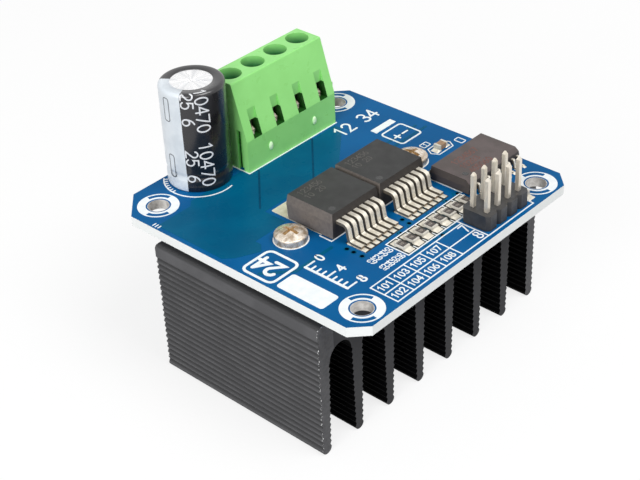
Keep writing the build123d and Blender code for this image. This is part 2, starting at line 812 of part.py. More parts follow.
def build():
    """Every node of the module with its solids."""
    nodes = {
        "circuit_board": circuit_board(),
        "heat_sink": heat_sink(),
        "thermal_pad": thermal_pad(),
        "terminal_housing_left": terminal_housing(0),
        "terminal_housing_right": terminal_housing(2),
        "capacitor_can": capacitor_can(),
        "capacitor_sleeve": capacitor_sleeve(),
        "capacitor_bung": capacitor_bung(),
        "logic_chip_body": logic_chip_body(),
        "logic_chip_leads": Compound(logic_chip_leads()),
        "header_base": header_base(),
        "solder_joints": Compound(solder_joints()),
    }
    for name, x in zip(("left", "right"), clamp_screw_xs()):
        nodes[f"heat_sink_screw_{name}"] = heat_sink_screw(x)
    for index in range(4):
        nodes[f"terminal_screw_{index + 1}"] = terminal_screw(pole_x(index))
        nodes[f"terminal_cage_{index + 1}"] = terminal_cage(pole_x(index))
        nodes[f"terminal_contact_{index + 1}"] = terminal_contact(pole_x(index))
    for name, spot in zip(("negative", "positive"), capacitor_leads()):
        nodes[f"capacitor_lead_{name}"] = capacitor_lead(spot)
    for index, name in enumerate(("left", "right")):
        nodes[f"{name}_driver_body"] = driver_body(index)
        nodes[f"{name}_driver_tab"] = driver_tab(index)
        nodes[f"{name}_driver_leads"] = Compound(driver_leads(index))
    for index, spot in enumerate(header_pins()):
        nodes[f"header_pin_{index + 1}"] = header_pin(spot)
    for index in range(chip_count):
        x = chip_first_x + index * chip_pitch
        nodes[f"resistor_{index + 1}"] = chip(x, chip_y, 90, chip_height)
    for index, (x, inset_y, turn) in enumerate(ceramic_spots):
        spot = chip(x, inset_y - board_back, turn, ceramic_height)
        nodes[f"ceramic_capacitor_{index + 1}"] = spot
    return nodes


for node, shape in build().items():
    export_step(Pos(0, -capacitor_overhang / 2, 0) * shape, f"parts/{node}.step")
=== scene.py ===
"""Studio scene of a DC motor driver module on its finned heat sink.

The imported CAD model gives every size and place. This script dresses it: a finish for each CAD
node, the board's copper, legend, pads and plated holes, the solder, the printed sleeve of the
capacitor, and a plain white studio. Plain numbers are millimetres, and Blender gets metres.
"""

from __future__ import annotations

import json
import logging
import math
from collections.abc import Callable, Iterable, Sequence
from dataclasses import dataclass, field, replace
from enum import Enum
from typing import Union

import bmesh
import bpy
from mathutils import Matrix, Vector

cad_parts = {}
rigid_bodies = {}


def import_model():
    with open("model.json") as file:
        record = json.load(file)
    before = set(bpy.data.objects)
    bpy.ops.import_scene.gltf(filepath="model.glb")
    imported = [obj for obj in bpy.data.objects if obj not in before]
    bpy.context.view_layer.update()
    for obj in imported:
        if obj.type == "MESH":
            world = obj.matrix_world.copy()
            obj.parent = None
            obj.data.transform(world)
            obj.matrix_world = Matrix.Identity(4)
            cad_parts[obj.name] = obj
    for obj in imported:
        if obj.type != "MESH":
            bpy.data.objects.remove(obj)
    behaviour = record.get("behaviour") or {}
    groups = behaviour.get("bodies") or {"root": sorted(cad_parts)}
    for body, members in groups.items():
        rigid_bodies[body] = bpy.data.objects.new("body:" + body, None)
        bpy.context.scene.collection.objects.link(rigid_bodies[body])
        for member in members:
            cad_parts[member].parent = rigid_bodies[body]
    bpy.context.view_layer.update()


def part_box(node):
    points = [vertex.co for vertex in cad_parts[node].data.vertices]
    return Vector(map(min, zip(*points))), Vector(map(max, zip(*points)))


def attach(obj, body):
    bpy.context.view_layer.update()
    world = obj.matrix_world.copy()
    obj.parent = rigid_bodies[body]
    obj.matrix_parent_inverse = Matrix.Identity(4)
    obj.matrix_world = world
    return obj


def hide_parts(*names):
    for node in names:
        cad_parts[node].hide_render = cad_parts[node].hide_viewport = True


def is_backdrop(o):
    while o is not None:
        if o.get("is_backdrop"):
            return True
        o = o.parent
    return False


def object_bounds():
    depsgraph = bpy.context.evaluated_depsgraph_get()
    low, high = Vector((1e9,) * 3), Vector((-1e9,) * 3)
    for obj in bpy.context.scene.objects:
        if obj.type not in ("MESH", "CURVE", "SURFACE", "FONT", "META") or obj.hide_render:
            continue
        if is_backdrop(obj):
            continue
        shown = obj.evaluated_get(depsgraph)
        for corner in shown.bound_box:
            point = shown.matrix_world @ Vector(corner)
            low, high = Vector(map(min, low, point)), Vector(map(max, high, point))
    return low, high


log = logging.getLogger("scene")

MM = 0.001

Point = tuple[float, float]
Path = Sequence[Point]
Station = tuple[Vector, Vector, float]
Triple = tuple[float, float, float]
Margins = tuple[float, float, float, float]
BMesh = bmesh.types.BMesh
Tree = bpy.types.NodeTree
Socket = bpy.types.NodeSocket
Value = Union[Socket, float]
Colour = Union[Socket, str]

# Parts of the noise's range over which patches of colour and of gloss fade
COLOUR_FADE = (0.38, 0.62)
GLOSS_FADE = (0.35, 0.65)
# Width of a patch of gloss, as a share of a patch of colour
GLOSS_PATCH = 0.6
COAT_ROUGHNESS = 0.15
# How much of a face's normal lies along a direction, or upwards, where the face counts as looking that way
FACING = 0.7
FACING_UP = 0.6
# Neighbouring strokes lie on different levels, so that no two faces coincide
STROKE_LEVELS = 12
STROKE_STEP = 0.0006
# Least cosine at a stroke's corner, which keeps a sharp corner short
CORNER_LIMIT = 0.5
# Angles of the stations in the round end of a stroke
END_ANGLES = (30, 60, 82)
# Angle of one stretch of a ring, and the least number of stretches
RING_STEP = 6
RING_STRETCHES = 6
CORNER_STRETCHES = 4

RESISTORS = tuple(f"resistor_{k}" for k in range(1, 9))
CERAMICS = ("ceramic_capacitor_1", "ceramic_capacitor_2")
SINK_SCREWS = ("heat_sink_screw_left", "heat_sink_screw_right")
SIDES = ("left", "right")


# Colour and shader helpers


def to_linear(code: str) -> tuple[float, float, float, float]:
    """Turn an sRGB hex colour into a linear one.

    Args:
        code: Colour as "#rrggbb".

    Returns:
        Linear red, green, blue and full alpha.
    """
    channels = [int(code[i : i + 2], 16) / 255 for i in (1, 3, 5)]
    linear = [c / 12.92 if c <= 0.04045 else ((c + 0.055) / 1.055) ** 2.4 for c in channels]
    return (linear[0], linear[1], linear[2], 1.0)


def add_node(tree: Tree, kind: str, inputs: dict | None = None, **settings: object) -> bpy.types.Node:
    """Add one shader node.

    Args:
        tree: Node tree of the material or world.
        kind: Blender's name of the node type.
        inputs: Value or output socket for each input, by name or number.
        **settings: Properties of the node itself.

    Returns:
        The new node.
    """
    node = tree.nodes.new(kind)
    for name, value in settings.items():
        setattr(node, name, value)
    for name, value in (inputs or {}).items():
        if isinstance(value, Socket):
            tree.links.new(value, node.inputs[name])
        else:
            node.inputs[name].default_value = value
    return node


def noise(tree: Tree, size: float, detail: float = 3.0) -> Socket:
    """Noise that moves with the object.

    Args:
        tree: Node tree of the material.
        size: Width of one patch in millimetres.
        detail: Octaves of finer noise.

    Returns:
        Socket with a value round one half.
    """
    place = add_node(tree, "ShaderNodeTexCoord").outputs["Object"]
    inputs = {"Vector": place, "Scale": 1 / (size * MM), "Detail": detail}
    return add_node(tree, "ShaderNodeTexNoise", inputs).outputs[0]


def spread(
    tree: Tree,
    value: Value,
    low: float,
    high: float,
    first: float = 0.0,
    last: float = 1.0,
) -> Socket:
    """Map a value from one range to another.

    Args:
        tree: Node tree of the material.
        value: Socket that is mapped.
        low: Value that becomes first.
        high: Value that becomes last.
        first: Lowest result.
        last: Highest result.

    Returns:
        Socket with the mapped value, held inside the range.
    """
    inputs = {0: value, 1: low, 2: high, 3: first, 4: last}
    return add_node(tree, "ShaderNodeMapRange", inputs, clamp=True).outputs[0]


def math_node(tree: Tree, operation: str, *values: Value) -> Socket:
    """Result of one arithmetic step on sockets or numbers."""
    return add_node(tree, "ShaderNodeMath", dict(enumerate(values)), operation=operation).outputs[0]


def blend_colours(tree: Tree, share: Value, first: Colour, second: Colour) -> Socket:
    """Mix two colours.

    Args:
        tree: Node tree of the material.
        share: Socket with the share of the second colour.
        first: Colour as a hex code or socket.
        second: Colour as a hex code or socket.

    Returns:
        Socket with the mixed colour.
    """
    before, after = [to_linear(c) if isinstance(c, str) else c for c in (first, second)]
    # The node's colours are its inputs 6 and 7 and its output 2
    inputs = {0: share, 6: before, 7: after}
    return add_node(tree, "ShaderNodeMix", inputs, data_type="RGBA").outputs[2]


def place_parts(tree: Tree) -> list[Socket]:
    """Place on the object along X, Y and Z, in metres."""
    place = add_node(tree, "ShaderNodeTexCoord").outputs["Object"]
    return list(add_node(tree, "ShaderNodeSeparateXYZ", {0: place}).outputs)


def normal_parts(tree: Tree) -> list[Socket]:
    """Direction of the face along X, Y and Z."""
    normal = add_node(tree, "ShaderNodeNewGeometry").outputs["True Normal"]
    return list(add_node(tree, "ShaderNodeSeparateXYZ", {0: normal}).outputs)


def nearest(tree: Tree, value: Socket, marks: Sequence[float]) -> Socket:
    """Distance in metres from a place to the nearest of some marks.

    Args:
        tree: Node tree of the material.
        value: Place along one direction, in metres.
        marks: Places of the marks, in millimetres.

    Returns:
        Socket with the distance.
    """
    gaps = [math_node(tree, "ABSOLUTE", math_node(tree, "SUBTRACT", value, mark * MM)) for mark in marks]
    gap = gaps[0]
    for other in gaps[1:]:
        gap = math_node(tree, "MINIMUM", gap, other)
    return gap


def length_of(tree: Tree, first: Value, second: Value) -> Socket:
    """Length of the long side of a right triangle."""
    squares = [math_node(tree, "MULTIPLY", side, side) for side in (first, second)]
    return math_node(tree, "SQRT", math_node(tree, "ADD", *squares))


def every(tree: Tree, *tests: tuple[Value, str, float]) -> Socket:
    """One where all tests hold, and zero elsewhere.

    Args:
        tree: Node tree of the material.
        *tests: Value, comparison and limit of each test.

    Returns:
        Socket with one or zero.
    """
    result = 1.0
    for value, comparison, limit in tests:
        result = math_node(tree, "MULTIPLY", result, math_node(tree, comparison, value, limit))
    return result


# Finishes


@dataclass(frozen=True)
class Finish:
    """Surface of one real material, with its patches of colour and its grain.

    Attributes:
        name: The real material and how it was made.
        colour: Main colour.
        second: Colour of the patches.
        patch: Width of a patch.
        grain: Width of one grain of the surface.
        relief: Height of the grain.
        roughness: Middle of the roughness.
        roughness_spread: How far the roughness strays from its middle.
        metallic: One for bare metal.
        specular: Strength of the reflection of a plastic or ink.
        coat: Strength of a clear coat.
    """

    name: str
    colour: str
    second: str
    patch: float
    grain: float
    relief: float
    roughness: float
    roughness_spread: float = 0.08
    metallic: float = 0.0
    specular: float = 0.5
    coat: float = 0.0

    def base_colour(self, tree: Tree) -> Socket:
        """Colour with soft patches of the second colour."""
        share = spread(tree, noise(tree, self.patch), *COLOUR_FADE)
        return blend_colours(tree, share, self.colour, self.second)

    def height(self, tree: Tree) -> Socket:
        """Height of the surface's grain, from zero to one."""
        return noise(tree, self.grain, 2.0)

    def build(self) -> bpy.types.Material:
        """Make the material.

        Returns:
            Material with its nodes.
        """
        material = bpy.data.materials.new(self.name)
        material.use_nodes = True
        tree = material.node_tree
        shader = tree.nodes["Principled BSDF"]
        shader.inputs["Metallic"].default_value = self.metallic
        shader.inputs["Specular IOR Level"].default_value = self.specular
        shader.inputs["Coat Weight"].default_value = self.coat
        shader.inputs["Coat Roughness"].default_value = COAT_ROUGHNESS
        low, high = self.roughness - self.roughness_spread, self.roughness + self.roughness_spread
        rough = spread(tree, noise(tree, self.patch * GLOSS_PATCH), *GLOSS_FADE, low, high)
        bump = add_node(tree, "ShaderNodeBump",
                        {"Height": self.height(tree), "Distance": self.relief * MM, "Strength": 1.0})
        tree.links.new(self.base_colour(tree), shader.inputs["Base Color"])
        tree.links.new(rough, shader.inputs["Roughness"])
        tree.links.new(bump.outputs[0], shader.inputs["Normal"])
        return material


@dataclass(frozen=True)
class LaminateFinish(Finish):
    """Board: blue mask on its two faces, pale cut glass fibre round its edge and in its holes.

    Attributes:
        edge: Colour of the cut edge.
        edge_second: Colour of the plies in it.
        ply: Thickness of one ply.
        fibre: Width of a bundle of fibres.
        flatness: How level a surface has to be to count as one of the two faces.
    """

    edge: str = "#fcfefe"
    edge_second: str = "#eff5f3"
    ply: float = 0.2
    fibre: float = 0.6
    flatness: float = 0.5

    def base_colour(self, tree: Tree) -> Socket:
        """Mask where the face looks up or down, and plies of glass fibre on the edge."""
        face = super().base_colour(tree)
        upright = place_parts(tree)[2]
        wave = math_node(tree, "SINE", math_node(tree, "MULTIPLY", upright, 2 * math.pi / (self.ply * MM)))
        plies = math_node(tree, "MULTIPLY", spread(tree, wave, -1.0, 1.0), noise(tree, self.fibre))
        edge = blend_colours(tree, plies, self.edge, self.edge_second)
        upward = math_node(tree, "ABSOLUTE", normal_parts(tree)[2])
        flat = math_node(tree, "GREATER_THAN", upward, self.flatness)
        return blend_colours(tree, flat, edge, face)


@dataclass(frozen=True)
class ExtrusionFinish(Finish):
    """Black anodised extrusion: outer faces with fine ridges, lightened by a painted sheen, with painted
    shade in the ridges' valleys; channels painted near black as shade between the fins; sawn ends.

    Attributes:
        sawn: Colour of the sawn ends.
        sawn_outer: Lighter colour of the sawn end of the two outer fins.
        channel: Painted shade between the fins, near black.
        valley: Painted shade between two ridges of an outer face; the grains on the sawn ends take it too.
        burr: Colour of the bare specks along the saw cut's edge.
        half_width: From the middle to the outer face.
        ends: Places of the two sawn ends along Y.
        crest: Distances from the outer face between which a ridge's flank lies.
        skin: Depth of the outer face with its ridges.
        outer_fin: Thickness of an outer fin.
        edge: Width of the specked edge.
        speck: Width of a speck.
        speck_limit: Level of the noise above which a speck is bare.
        grit: Width of a grain on the sawn ends.
        grit_share: Share of the valley colour in a grain.
        top_facing: How level a face has to be to count as the top of an outer fin.
        die_line: Width of one die line.
        die_draw: Scale of the die lines' noise along the extrusion, beside its scale across.
    """

    sawn: str = "#4b4b4d"
    sawn_outer: str = "#69696b"
    # Painted shade: near black between the fins, and darker in the valleys between the ridges
    channel: str = "#060607"
    valley: str = "#484849"
    burr: str = "#d8d8d8"
    half_width: float = 0.0
    ends: Point = (0.0, 0.0)
    crest: Point = (0.2, 0.02)
    skin: float = 0.5
    outer_fin: float = 3.2
    edge: float = 0.14
    speck: float = 0.3
    speck_limit: float = 0.57
    grit: float = 0.5
    grit_share: float = 0.35
    top_facing: float = 0.9
    die_line: float = 0.16
    die_draw: float = 0.02

    def outer_face(self, tree: Tree, reach: Socket, along: Socket) -> Socket:
        """Colour of the ridged outer face, lightened by a painted sheen, with painted shade in the valleys
        between ridges and bare specks along the saw cuts.

        Args:
            tree: Node tree of the material.
            reach: Distance from the middle plane.
            along: Place along the extrusion.

        Returns:
            Socket with the colour.
        """
        low, high = [(self.half_width - depth) * MM for depth in self.crest]
        # Painted shade: the colour darkens from a ridge's crest down into the valleys
        ridged = blend_colours(tree, spread(tree, reach, low, high), self.valley, super().base_colour(tree))
        bare = every(tree, (nearest(tree, along, self.ends), "LESS_THAN", self.edge * MM),
                     (noise(tree, self.speck), "GREATER_THAN", self.speck_limit))
        return blend_colours(tree, bare, ridged, self.burr)

    def sawn_face(self, tree: Tree, outer: Socket) -> Socket:
        """Colour of the sawn ends, lighter on the outer fins and gritty everywhere."""
        grit = spread(tree, noise(tree, self.grit), *GLOSS_FADE, 0.0, self.grit_share)
        return blend_colours(tree, grit, blend_colours(tree, outer, self.sawn, self.sawn_outer), self.valley)

    def base_colour(self, tree: Tree) -> Socket:
        """Outer faces lightened by a painted sheen, near-black painted shade in the channels, and gritty
        ends.
        """
        across, along, _ = place_parts(tree)
        _, endways, up = normal_parts(tree)
        reach = math_node(tree, "ABSOLUTE", across)
        outside = math_node(tree, "GREATER_THAN", reach, (self.half_width - self.skin) * MM)
        outer = math_node(tree, "GREATER_THAN", reach, (self.half_width - self.outer_fin) * MM)
        top = every(tree, (up, "GREATER_THAN", self.top_facing), (outer, "GREATER_THAN", 0.5))
        # Painted shade: every face but the outer skin and the outer fins' tops takes the near-black colour of
        # the channels
        seen = math_node(tree, "MAXIMUM", outside, top)
        drawn = blend_colours(tree, seen, self.channel, self.outer_face(tree, reach, along))
        end = math_node(tree, "GREATER_THAN", math_node(tree, "ABSOLUTE", endways), FACING)
        return blend_colours(tree, end, drawn, self.sawn_face(tree, outer))

    def height(self, tree: Tree) -> Socket:
        """Die lines that run the length of the extrusion."""
        place = add_node(tree, "ShaderNodeTexCoord").outputs["Object"]
        squash = {"Vector": place, "Scale": (1.0, self.die_draw, 1.0)}
        drawn = add_node(tree, "ShaderNodeMapping", squash).outputs[0]
        lines = {"Vector": drawn, "Scale": 1 / (self.die_line * MM), "Detail": 2.0}
        return add_node(tree, "ShaderNodeTexNoise", lines).outputs[0]


@dataclass(frozen=True)
class MouldFinish(Finish):
    """Moulded chip body, lit and shaded by paint: the top keeps its own colour, the long sides take a painted
    shade and the ends a painted light.

    Attributes:
        side: Colour of the two long sides, a painted shade.
        end: Colour of the two ends, a painted light.
        dust: Width of a dusty patch on a side.
        dust_fade: Part of the noise's range over which it fades.
        dust_share: Strength of the dust.
    """

    # Painted shade on the long sides and painted light on the ends
    side: str = "#3a3634"
    end: str = "#79716b"
    dust: float = 0.5
    dust_fade: Point = (0.4, 0.75)
    dust_share: float = 0.3

    def base_colour(self, tree: Tree) -> Socket:
        """Top colour where the face looks up, painted shade on the long sides and painted light on the ends.
        """
        across, _, up = normal_parts(tree)
        # Painted light and shade: faces along X take the ends' colour, the other upright faces the sides'
        # colour
        facing_end = math_node(tree, "GREATER_THAN", math_node(tree, "ABSOLUTE", across), FACING)
        upright = blend_colours(tree, facing_end, self.side, self.end)
        dusty = spread(tree, noise(tree, self.dust), *self.dust_fade, 0.0, self.dust_share)
        sides = blend_colours(tree, dusty, upright, self.second)
        top = math_node(tree, "GREATER_THAN", up, FACING_UP)
        return blend_colours(tree, top, sides, super().base_colour(tree))


@dataclass(frozen=True)
class LeadFinish(Finish):
    """Formed lead: tinned on its rolled faces; its stamped flanks and cut toes are darker, partly duller
    metal and partly painted shade.

    Attributes:
        flank: Colour of the stamped flanks, partly duller metal and partly painted shade between neighbouring
            leads.
        toe: Colour of the cut end of the foot, partly bare cut metal and partly painted shade.
        toe_top: Height under which a face that looks along Y is the cut end.
        toe_facing: How straight along Y it has to look.
    """

    # Partly painted shade: darker flanks between the leads and darker toe end faces
    flank: str = "#7d7466"
    toe: str = "#8b7c69"
    toe_top: float = 0.0
    toe_facing: float = 0.8

    def base_colour(self, tree: Tree) -> Socket:
        """Tin on the rolled faces, a dull brown grey on the stamped flanks and darker tin on the cut ends,
        both partly painted shade.
        """
        across, along, _ = normal_parts(tree)
        # Partly painted shade: faces along X take the flank colour, and end faces low on the foot the toe
        # colour
        flank_shade = math_node(tree, "GREATER_THAN", math_node(tree, "ABSOLUTE", across), FACING)
        cut = every(tree, (math_node(tree, "ABSOLUTE", along), "GREATER_THAN", self.toe_facing),
                    (place_parts(tree)[2], "LESS_THAN", self.toe_top * MM))
        tinned = blend_colours(tree, flank_shade, super().base_colour(tree), self.flank)
        return blend_colours(tree, cut, tinned, self.toe)


@dataclass(frozen=True)
class ScrewFinish(Finish):
    """Plated screw head: bright rim and crown, brassy recess where the plating is thin.

    Attributes:
        recess: Colour of the recess.
        axes: Places of the screws' axes along X.
        axis_y: Place of the axes along Y.
        reach: Radius that holds the recess.
        crown: Height of the head's crown.
        lip: Depth under the crown at which the recess colour starts.
        depth: Depth under the crown from which the recess colour is full.
    """

    recess: str = "#dcc297"
    axes: tuple[float, ...] = ()
    axis_y: float = 0.0
    reach: float = 1.35
    crown: float = 0.0
    lip: float = 0.12
    depth: float = 0.35

    def base_colour(self, tree: Tree) -> Socket:
        """Plating with a brassy recess."""
        x, y, z = place_parts(tree)
        off = math_node(tree, "SUBTRACT", y, self.axis_y * MM)
        radius = length_of(tree, nearest(tree, x, self.axes), off)
        inside = math_node(tree, "LESS_THAN", radius, self.reach * MM)
        deep = spread(tree, z, (self.crown - self.lip) * MM, (self.crown - self.depth) * MM)
        return blend_colours(tree, math_node(tree, "MULTIPLY", inside, deep), super().base_colour(tree),
                             self.recess)


@dataclass(frozen=True)
class CanFinish(Finish):
    """Drawn can: painted reflection streaks run out from the middle of its pale top.

    Attributes:
        centre: Middle of the can.
        streaks: Number of painted reflection streaks to one radian.
        streak_fade: Part of the noise's range over which a streak fades.
    """

    centre: Point = (0.0, 0.0)
    streaks: float = 2.6
    streak_fade: Point = (0.42, 0.6)

    def base_colour(self, tree: Tree) -> Socket:
        """Two pale tones in painted reflection streaks round the middle."""
        x, y, _ = place_parts(tree)
        across, along = [math_node(tree, "SUBTRACT", value, middle * MM)
                         for value, middle in zip((x, y), self.centre)]
        angle = math_node(tree, "ARCTAN2", along, across)
        turn = add_node(tree, "ShaderNodeCombineXYZ", {0: angle}).outputs[0]
        # Painted reflection: radial streaks in a lighter and a darker tone
        streak = add_node(tree, "ShaderNodeTexNoise", {"Vector": turn, "Scale": self.streaks, "Detail": 3.0})
        share = spread(tree, streak.outputs[0], *self.streak_fade)
        return blend_colours(tree, share, self.colour, self.second)


@dataclass(frozen=True)
class HousingFinish(Finish):
    """Moulded housing with painted shade in its screw shafts, slots and chambers, and a painted highlight on
    its nubs.

    Attributes:
        inside: Painted shade deep in a shaft.
        hollow: Painted shade in a slot and in a chamber.
        nub: Painted highlight on the small nubs on the front.
        nub_y: Place along Y before which only the nubs, with their painted highlight, lie.
        poles: Centre of each pole along X.
        shaft_y: Centre of the shafts along Y.
        shaft: Radius that holds a shaft's wall.
        slot: Half the width that holds a slot's walls.
        chamber: Half the width that holds a chamber's walls.
        chamber_y: Where the chambers start and end along Y.
        step: Height of the step under the slots.
        window_top: Height of the windows' top.
        chamber_top: Height under which the chambers lie.
        rim: Height of the housing's top.
        shade: Depths under the rim between which a shaft turns dark.
        floor_skin: How far under the step a slot's floor still counts as the slot.
    """

    # Painted shade inside the shafts, slots and chambers, and a painted highlight on the nubs
    inside: str = "#3b8446"
    hollow: str = "#1e521a"
    nub: str = "#d6f9ca"
    nub_y: float = 0.0
    poles: tuple[float, ...] = ()
    shaft_y: float = 0.0
    shaft: float = 1.93
    slot: float = 0.87
    chamber: float = 1.97
    chamber_y: Point = (0.0, 0.0)
    step: float = 0.0
    window_top: float = 0.0
    chamber_top: float = 0.0
    rim: float = 0.0
    shade: Point = (0.05, 1.6)
    floor_skin: float = 0.02

    def base_colour(self, tree: Tree) -> Socket:
        """Fresh green outside, painted shade in the shafts, slots and chambers, and a painted highlight on
        the nubs.
        """
        x, y, z = place_parts(tree)
        gap = nearest(tree, x, self.poles)
        reach = length_of(tree, gap, math_node(tree, "SUBTRACT", y, self.shaft_y * MM))
        near = math_node(tree, "LESS_THAN", reach, self.shaft * MM)
        lit, dark = [(self.rim - depth) * MM for depth in self.shade]
        shaft = math_node(tree, "MULTIPLY", near, spread(tree, z, lit, dark))
        front, back = [place * MM for place in self.chamber_y]
        chamber = every(tree, (gap, "LESS_THAN", self.chamber * MM), (y, "GREATER_THAN", front),
                        (y, "LESS_THAN", back), (z, "LESS_THAN", self.chamber_top * MM))
        foot = (self.step - self.floor_skin) * MM
        slot = every(tree, (gap, "LESS_THAN", self.slot * MM), (z, "GREATER_THAN", foot),
                     (z, "LESS_THAN", self.window_top * MM), (y, "LESS_THAN", front))
        # Painted highlight: the nubs, the only faces this far forward, take a near-white colour
        outside = blend_colours(tree, math_node(tree, "LESS_THAN", y, self.nub_y * MM),
                                super().base_colour(tree), self.nub)
        # Painted shade: the green turns dark deep in a shaft and in the slots and chambers
        green = blend_colours(tree, shaft, outside, self.inside)
        return blend_colours(tree, math_node(tree, "MAXIMUM", slot, chamber), green, self.hollow)


class Along(Enum):
    """Direction in which a chip part lies on the board."""

    X = 0
    Y = 1


@dataclass(frozen=True)
class ChipFinish(Finish):
    """Chip part: fired body between two tinned end caps.

    Attributes:
        along: Direction in which the part lies.
        middle: Its middle in that direction.
        half_body: Half the length of the body between the caps.
        cap: Colour of the caps.
        flank: Colour of the body's sides.
    """

    along: Along = Along.Y
    middle: float = 0.0
    half_body: float = 0.6
    cap: str = "#d8d3c8"
    flank: str = "#a98867"

    def cap_mask(self, tree: Tree) -> Socket:
        """One on the end caps and zero on the body."""
        value = place_parts(tree)[self.along.value]
        off = math_node(tree, "ABSOLUTE", math_node(tree, "SUBTRACT", value, self.middle * MM))
        return math_node(tree, "GREATER_THAN", off, self.half_body * MM)

    def base_colour(self, tree: Tree) -> Socket:
        """Body colour on top, flank colour beside it, and tin at both ends."""
        up = math_node(tree, "GREATER_THAN", normal_parts(tree)[2], FACING_UP)
        body = blend_colours(tree, up, self.flank, super().base_colour(tree))
        return blend_colours(tree, self.cap_mask(tree), body, self.cap)


class Finishes(Enum):
    """Every finish of the module and its studio; the sub-assemblies add places from the frame to some."""

    # Deep blue photo-imaged mask on bare laminate; a soft gloss with faint waves from the weave.
    MASK = LaminateFinish("Blue solder mask on glass laminate", "#095f99", "#075991", 9.0, 1.1, 0.003, 0.3,
                          roughness_spread=0.02, specular=0.05)
    # The same mask over copper foil reads darker and greener, because the copper shows through.
    MASK_COPPER = Finish("Blue solder mask over copper foil", "#015e82", "#02567a", 7.0, 0.9, 0.003, 0.28,
                         roughness_spread=0.02, specular=0.05)
    # Where the mask fills the gap between two copper areas it is thicker and darker.
    MASK_GAP = Finish("Blue solder mask pooled in a copper gap", "#05466a", "#043f60", 3.0, 0.9, 0.004, 0.3,
                      specular=0.05)
    # Screen-printed epoxy ink: matt, nearly white, thinner at places.
    INK = Finish("White screen-printed legend ink", "#fafdfd", "#eff5f7", 1.5, 0.12, 0.006, 0.55)
    # Hot-air levelled tin: bright, slightly lumpy and warm.
    TIN = Finish("Hot air levelled tin on copper", "#e4dec9", "#d5ceb7", 0.8, 0.35, 0.012, 0.45, metallic=0.1)
    # Reflowed solder paste: satin, with a wavy skin.
    SOLDER = Finish("Reflowed tin solder", "#efe9da", "#dcd5c5", 0.8, 0.35, 0.012, 0.38, metallic=0.35)
    # Drilled and plated hole wall, grey and dull.
    BARREL = Finish("Electroplated hole wall", "#dedbd7", "#bab6b1", 0.9, 0.15, 0.01, 0.4, metallic=0.4)
    # Open via: the hole is far deeper than it is wide, so a near-black disc paints the shade in it.
    VIA = Finish("Open drilled via", "#020814", "#040c1a", 0.3, 0.1, 0.002, 0.85, specular=0.0)
    # A darker layer of mask paints the shade between and round neighbouring pads, in dark grey with brownish
    # patches.
    FLUX = Finish("Solder mask under flux residue", "#2b3b40", "#3b352e", 0.9, 0.2, 0.004, 0.5, specular=0.1)
    # Extruded 6063 aluminium, black anodised: satin grey black with die lines; its grey carries a painted
    # sheen, and the channels and ridge valleys get painted shade.
    EXTRUSION = ExtrusionFinish("Black anodised aluminium extrusion", "#656567", "#5c5c5e", 5.0, 0.16, 0.006,
                                0.5, specular=0.02)
    # Filled silicone sheet, die cut: chalky grey.
    PAD = Finish("Die-cut silicone thermal sheet", "#9fa3a6", "#8f9396", 2.0, 0.2, 0.01, 0.8, specular=0.2)
    # Nickel-plated steel, cold headed: bright and warm, with tumbling marks that soften its reflections.
    SCREW = ScrewFinish("Nickel-plated cold-headed steel", "#f3e9dc", "#b5a18a", 0.9, 0.3, 0.02, 0.3,
                        metallic=0.5)
    # Injection-moulded polyamide: fresh green with a soft gloss, with painted shade inside and a painted
    # highlight on the nubs.
    HOUSING = HousingFinish("Green moulded polyamide", "#9be987", "#96e482", 3.5, 0.18, 0.002, 0.3,
                            roughness_spread=0.03, specular=0.35)
    # Zinc-plated steel clamp screws: a bluish white.
    CLAMP_SCREW = Finish("Blue-zinc-plated steel screw", "#a9bcc8", "#8b9eab", 0.9, 0.2, 0.006, 0.32,
                         metallic=0.3)
    # Bent brass strip with bright nickel.
    BRASS = Finish("Nickel-plated stamped brass", "#efe6d8", "#cdbda4", 1.0, 0.2, 0.006, 0.28, metallic=0.45)
    # Tin-plated copper, stamped and formed: satin with fine drawing lines; its flanks and toes get partly
    # painted shade.
    LEAD = LeadFinish("Matt tin-plated lead frame", "#f1ebdd", "#e0d9ca", 0.9, 0.12, 0.005, 0.38,
                      metallic=0.45)
    # Transfer-moulded epoxy: charcoal top, with its ends lightened by painted light.
    EPOXY = MouldFinish("Transfer-moulded black epoxy", "#383838", "#303030", 2.4, 0.09, 0.01, 0.55,
                        roughness_spread=0.03, specular=0.3)
    # A browner batch of the same epoxy, on the logic chip, with its sides and ends darkened by painted shade.
    EPOXY_WARM = MouldFinish("Transfer-moulded brown-black epoxy", "#5d5352", "#504846", 3.0, 0.09, 0.01, 0.5,
                             roughness_spread=0.03, specular=0.35, side="#393534", end="#47413f")
    # Laser marks: the beam leaves a slightly paler, matt track.
    LASER = Finish("Laser-marked epoxy", "#5b5856", "#504d4b", 0.6, 0.1, 0.004, 0.6, specular=0.3)
    # The same on the browner epoxy, where the track turns reddish.
    LASER_WARM = Finish("Laser-marked brown epoxy", "#7a534b", "#6a4a44", 0.6, 0.1, 0.004, 0.6, specular=0.3)
    # Polished ejector dimple in the mould.
    DIMPLE = Finish("Polished epoxy dimple", "#3a3a3a", "#343434", 0.8, 0.3, 0.002, 0.25)
    # Deep-drawn aluminium: very pale and satin.
    CAN = CanFinish("Deep-drawn bright aluminium", "#fdfdfd", "#e4e5e7", 1.4, 0.3, 0.004, 0.3, metallic=0.45)
    # Heat-shrunk PVC, glossy and nearly black.
    SLEEVE = Finish("Black heat-shrunk sleeve", "#17161b", "#121116", 4.0, 0.5, 0.006, 0.3, coat=0.55)
    # The pale polarity stripe, printed on the sleeve.
    STRIPE = Finish("Pale grey sleeve print", "#e3eaf0", "#d6dee5", 2.5, 0.3, 0.006, 0.36, coat=0.2)
    # Glass ink fired on the resistors: cream, and thin enough to let the dark body through.
    CHIP_INK = Finish("Fired cream resistor marking", "#b4aba1", "#9d948a", 0.5, 0.1, 0.003, 0.5)
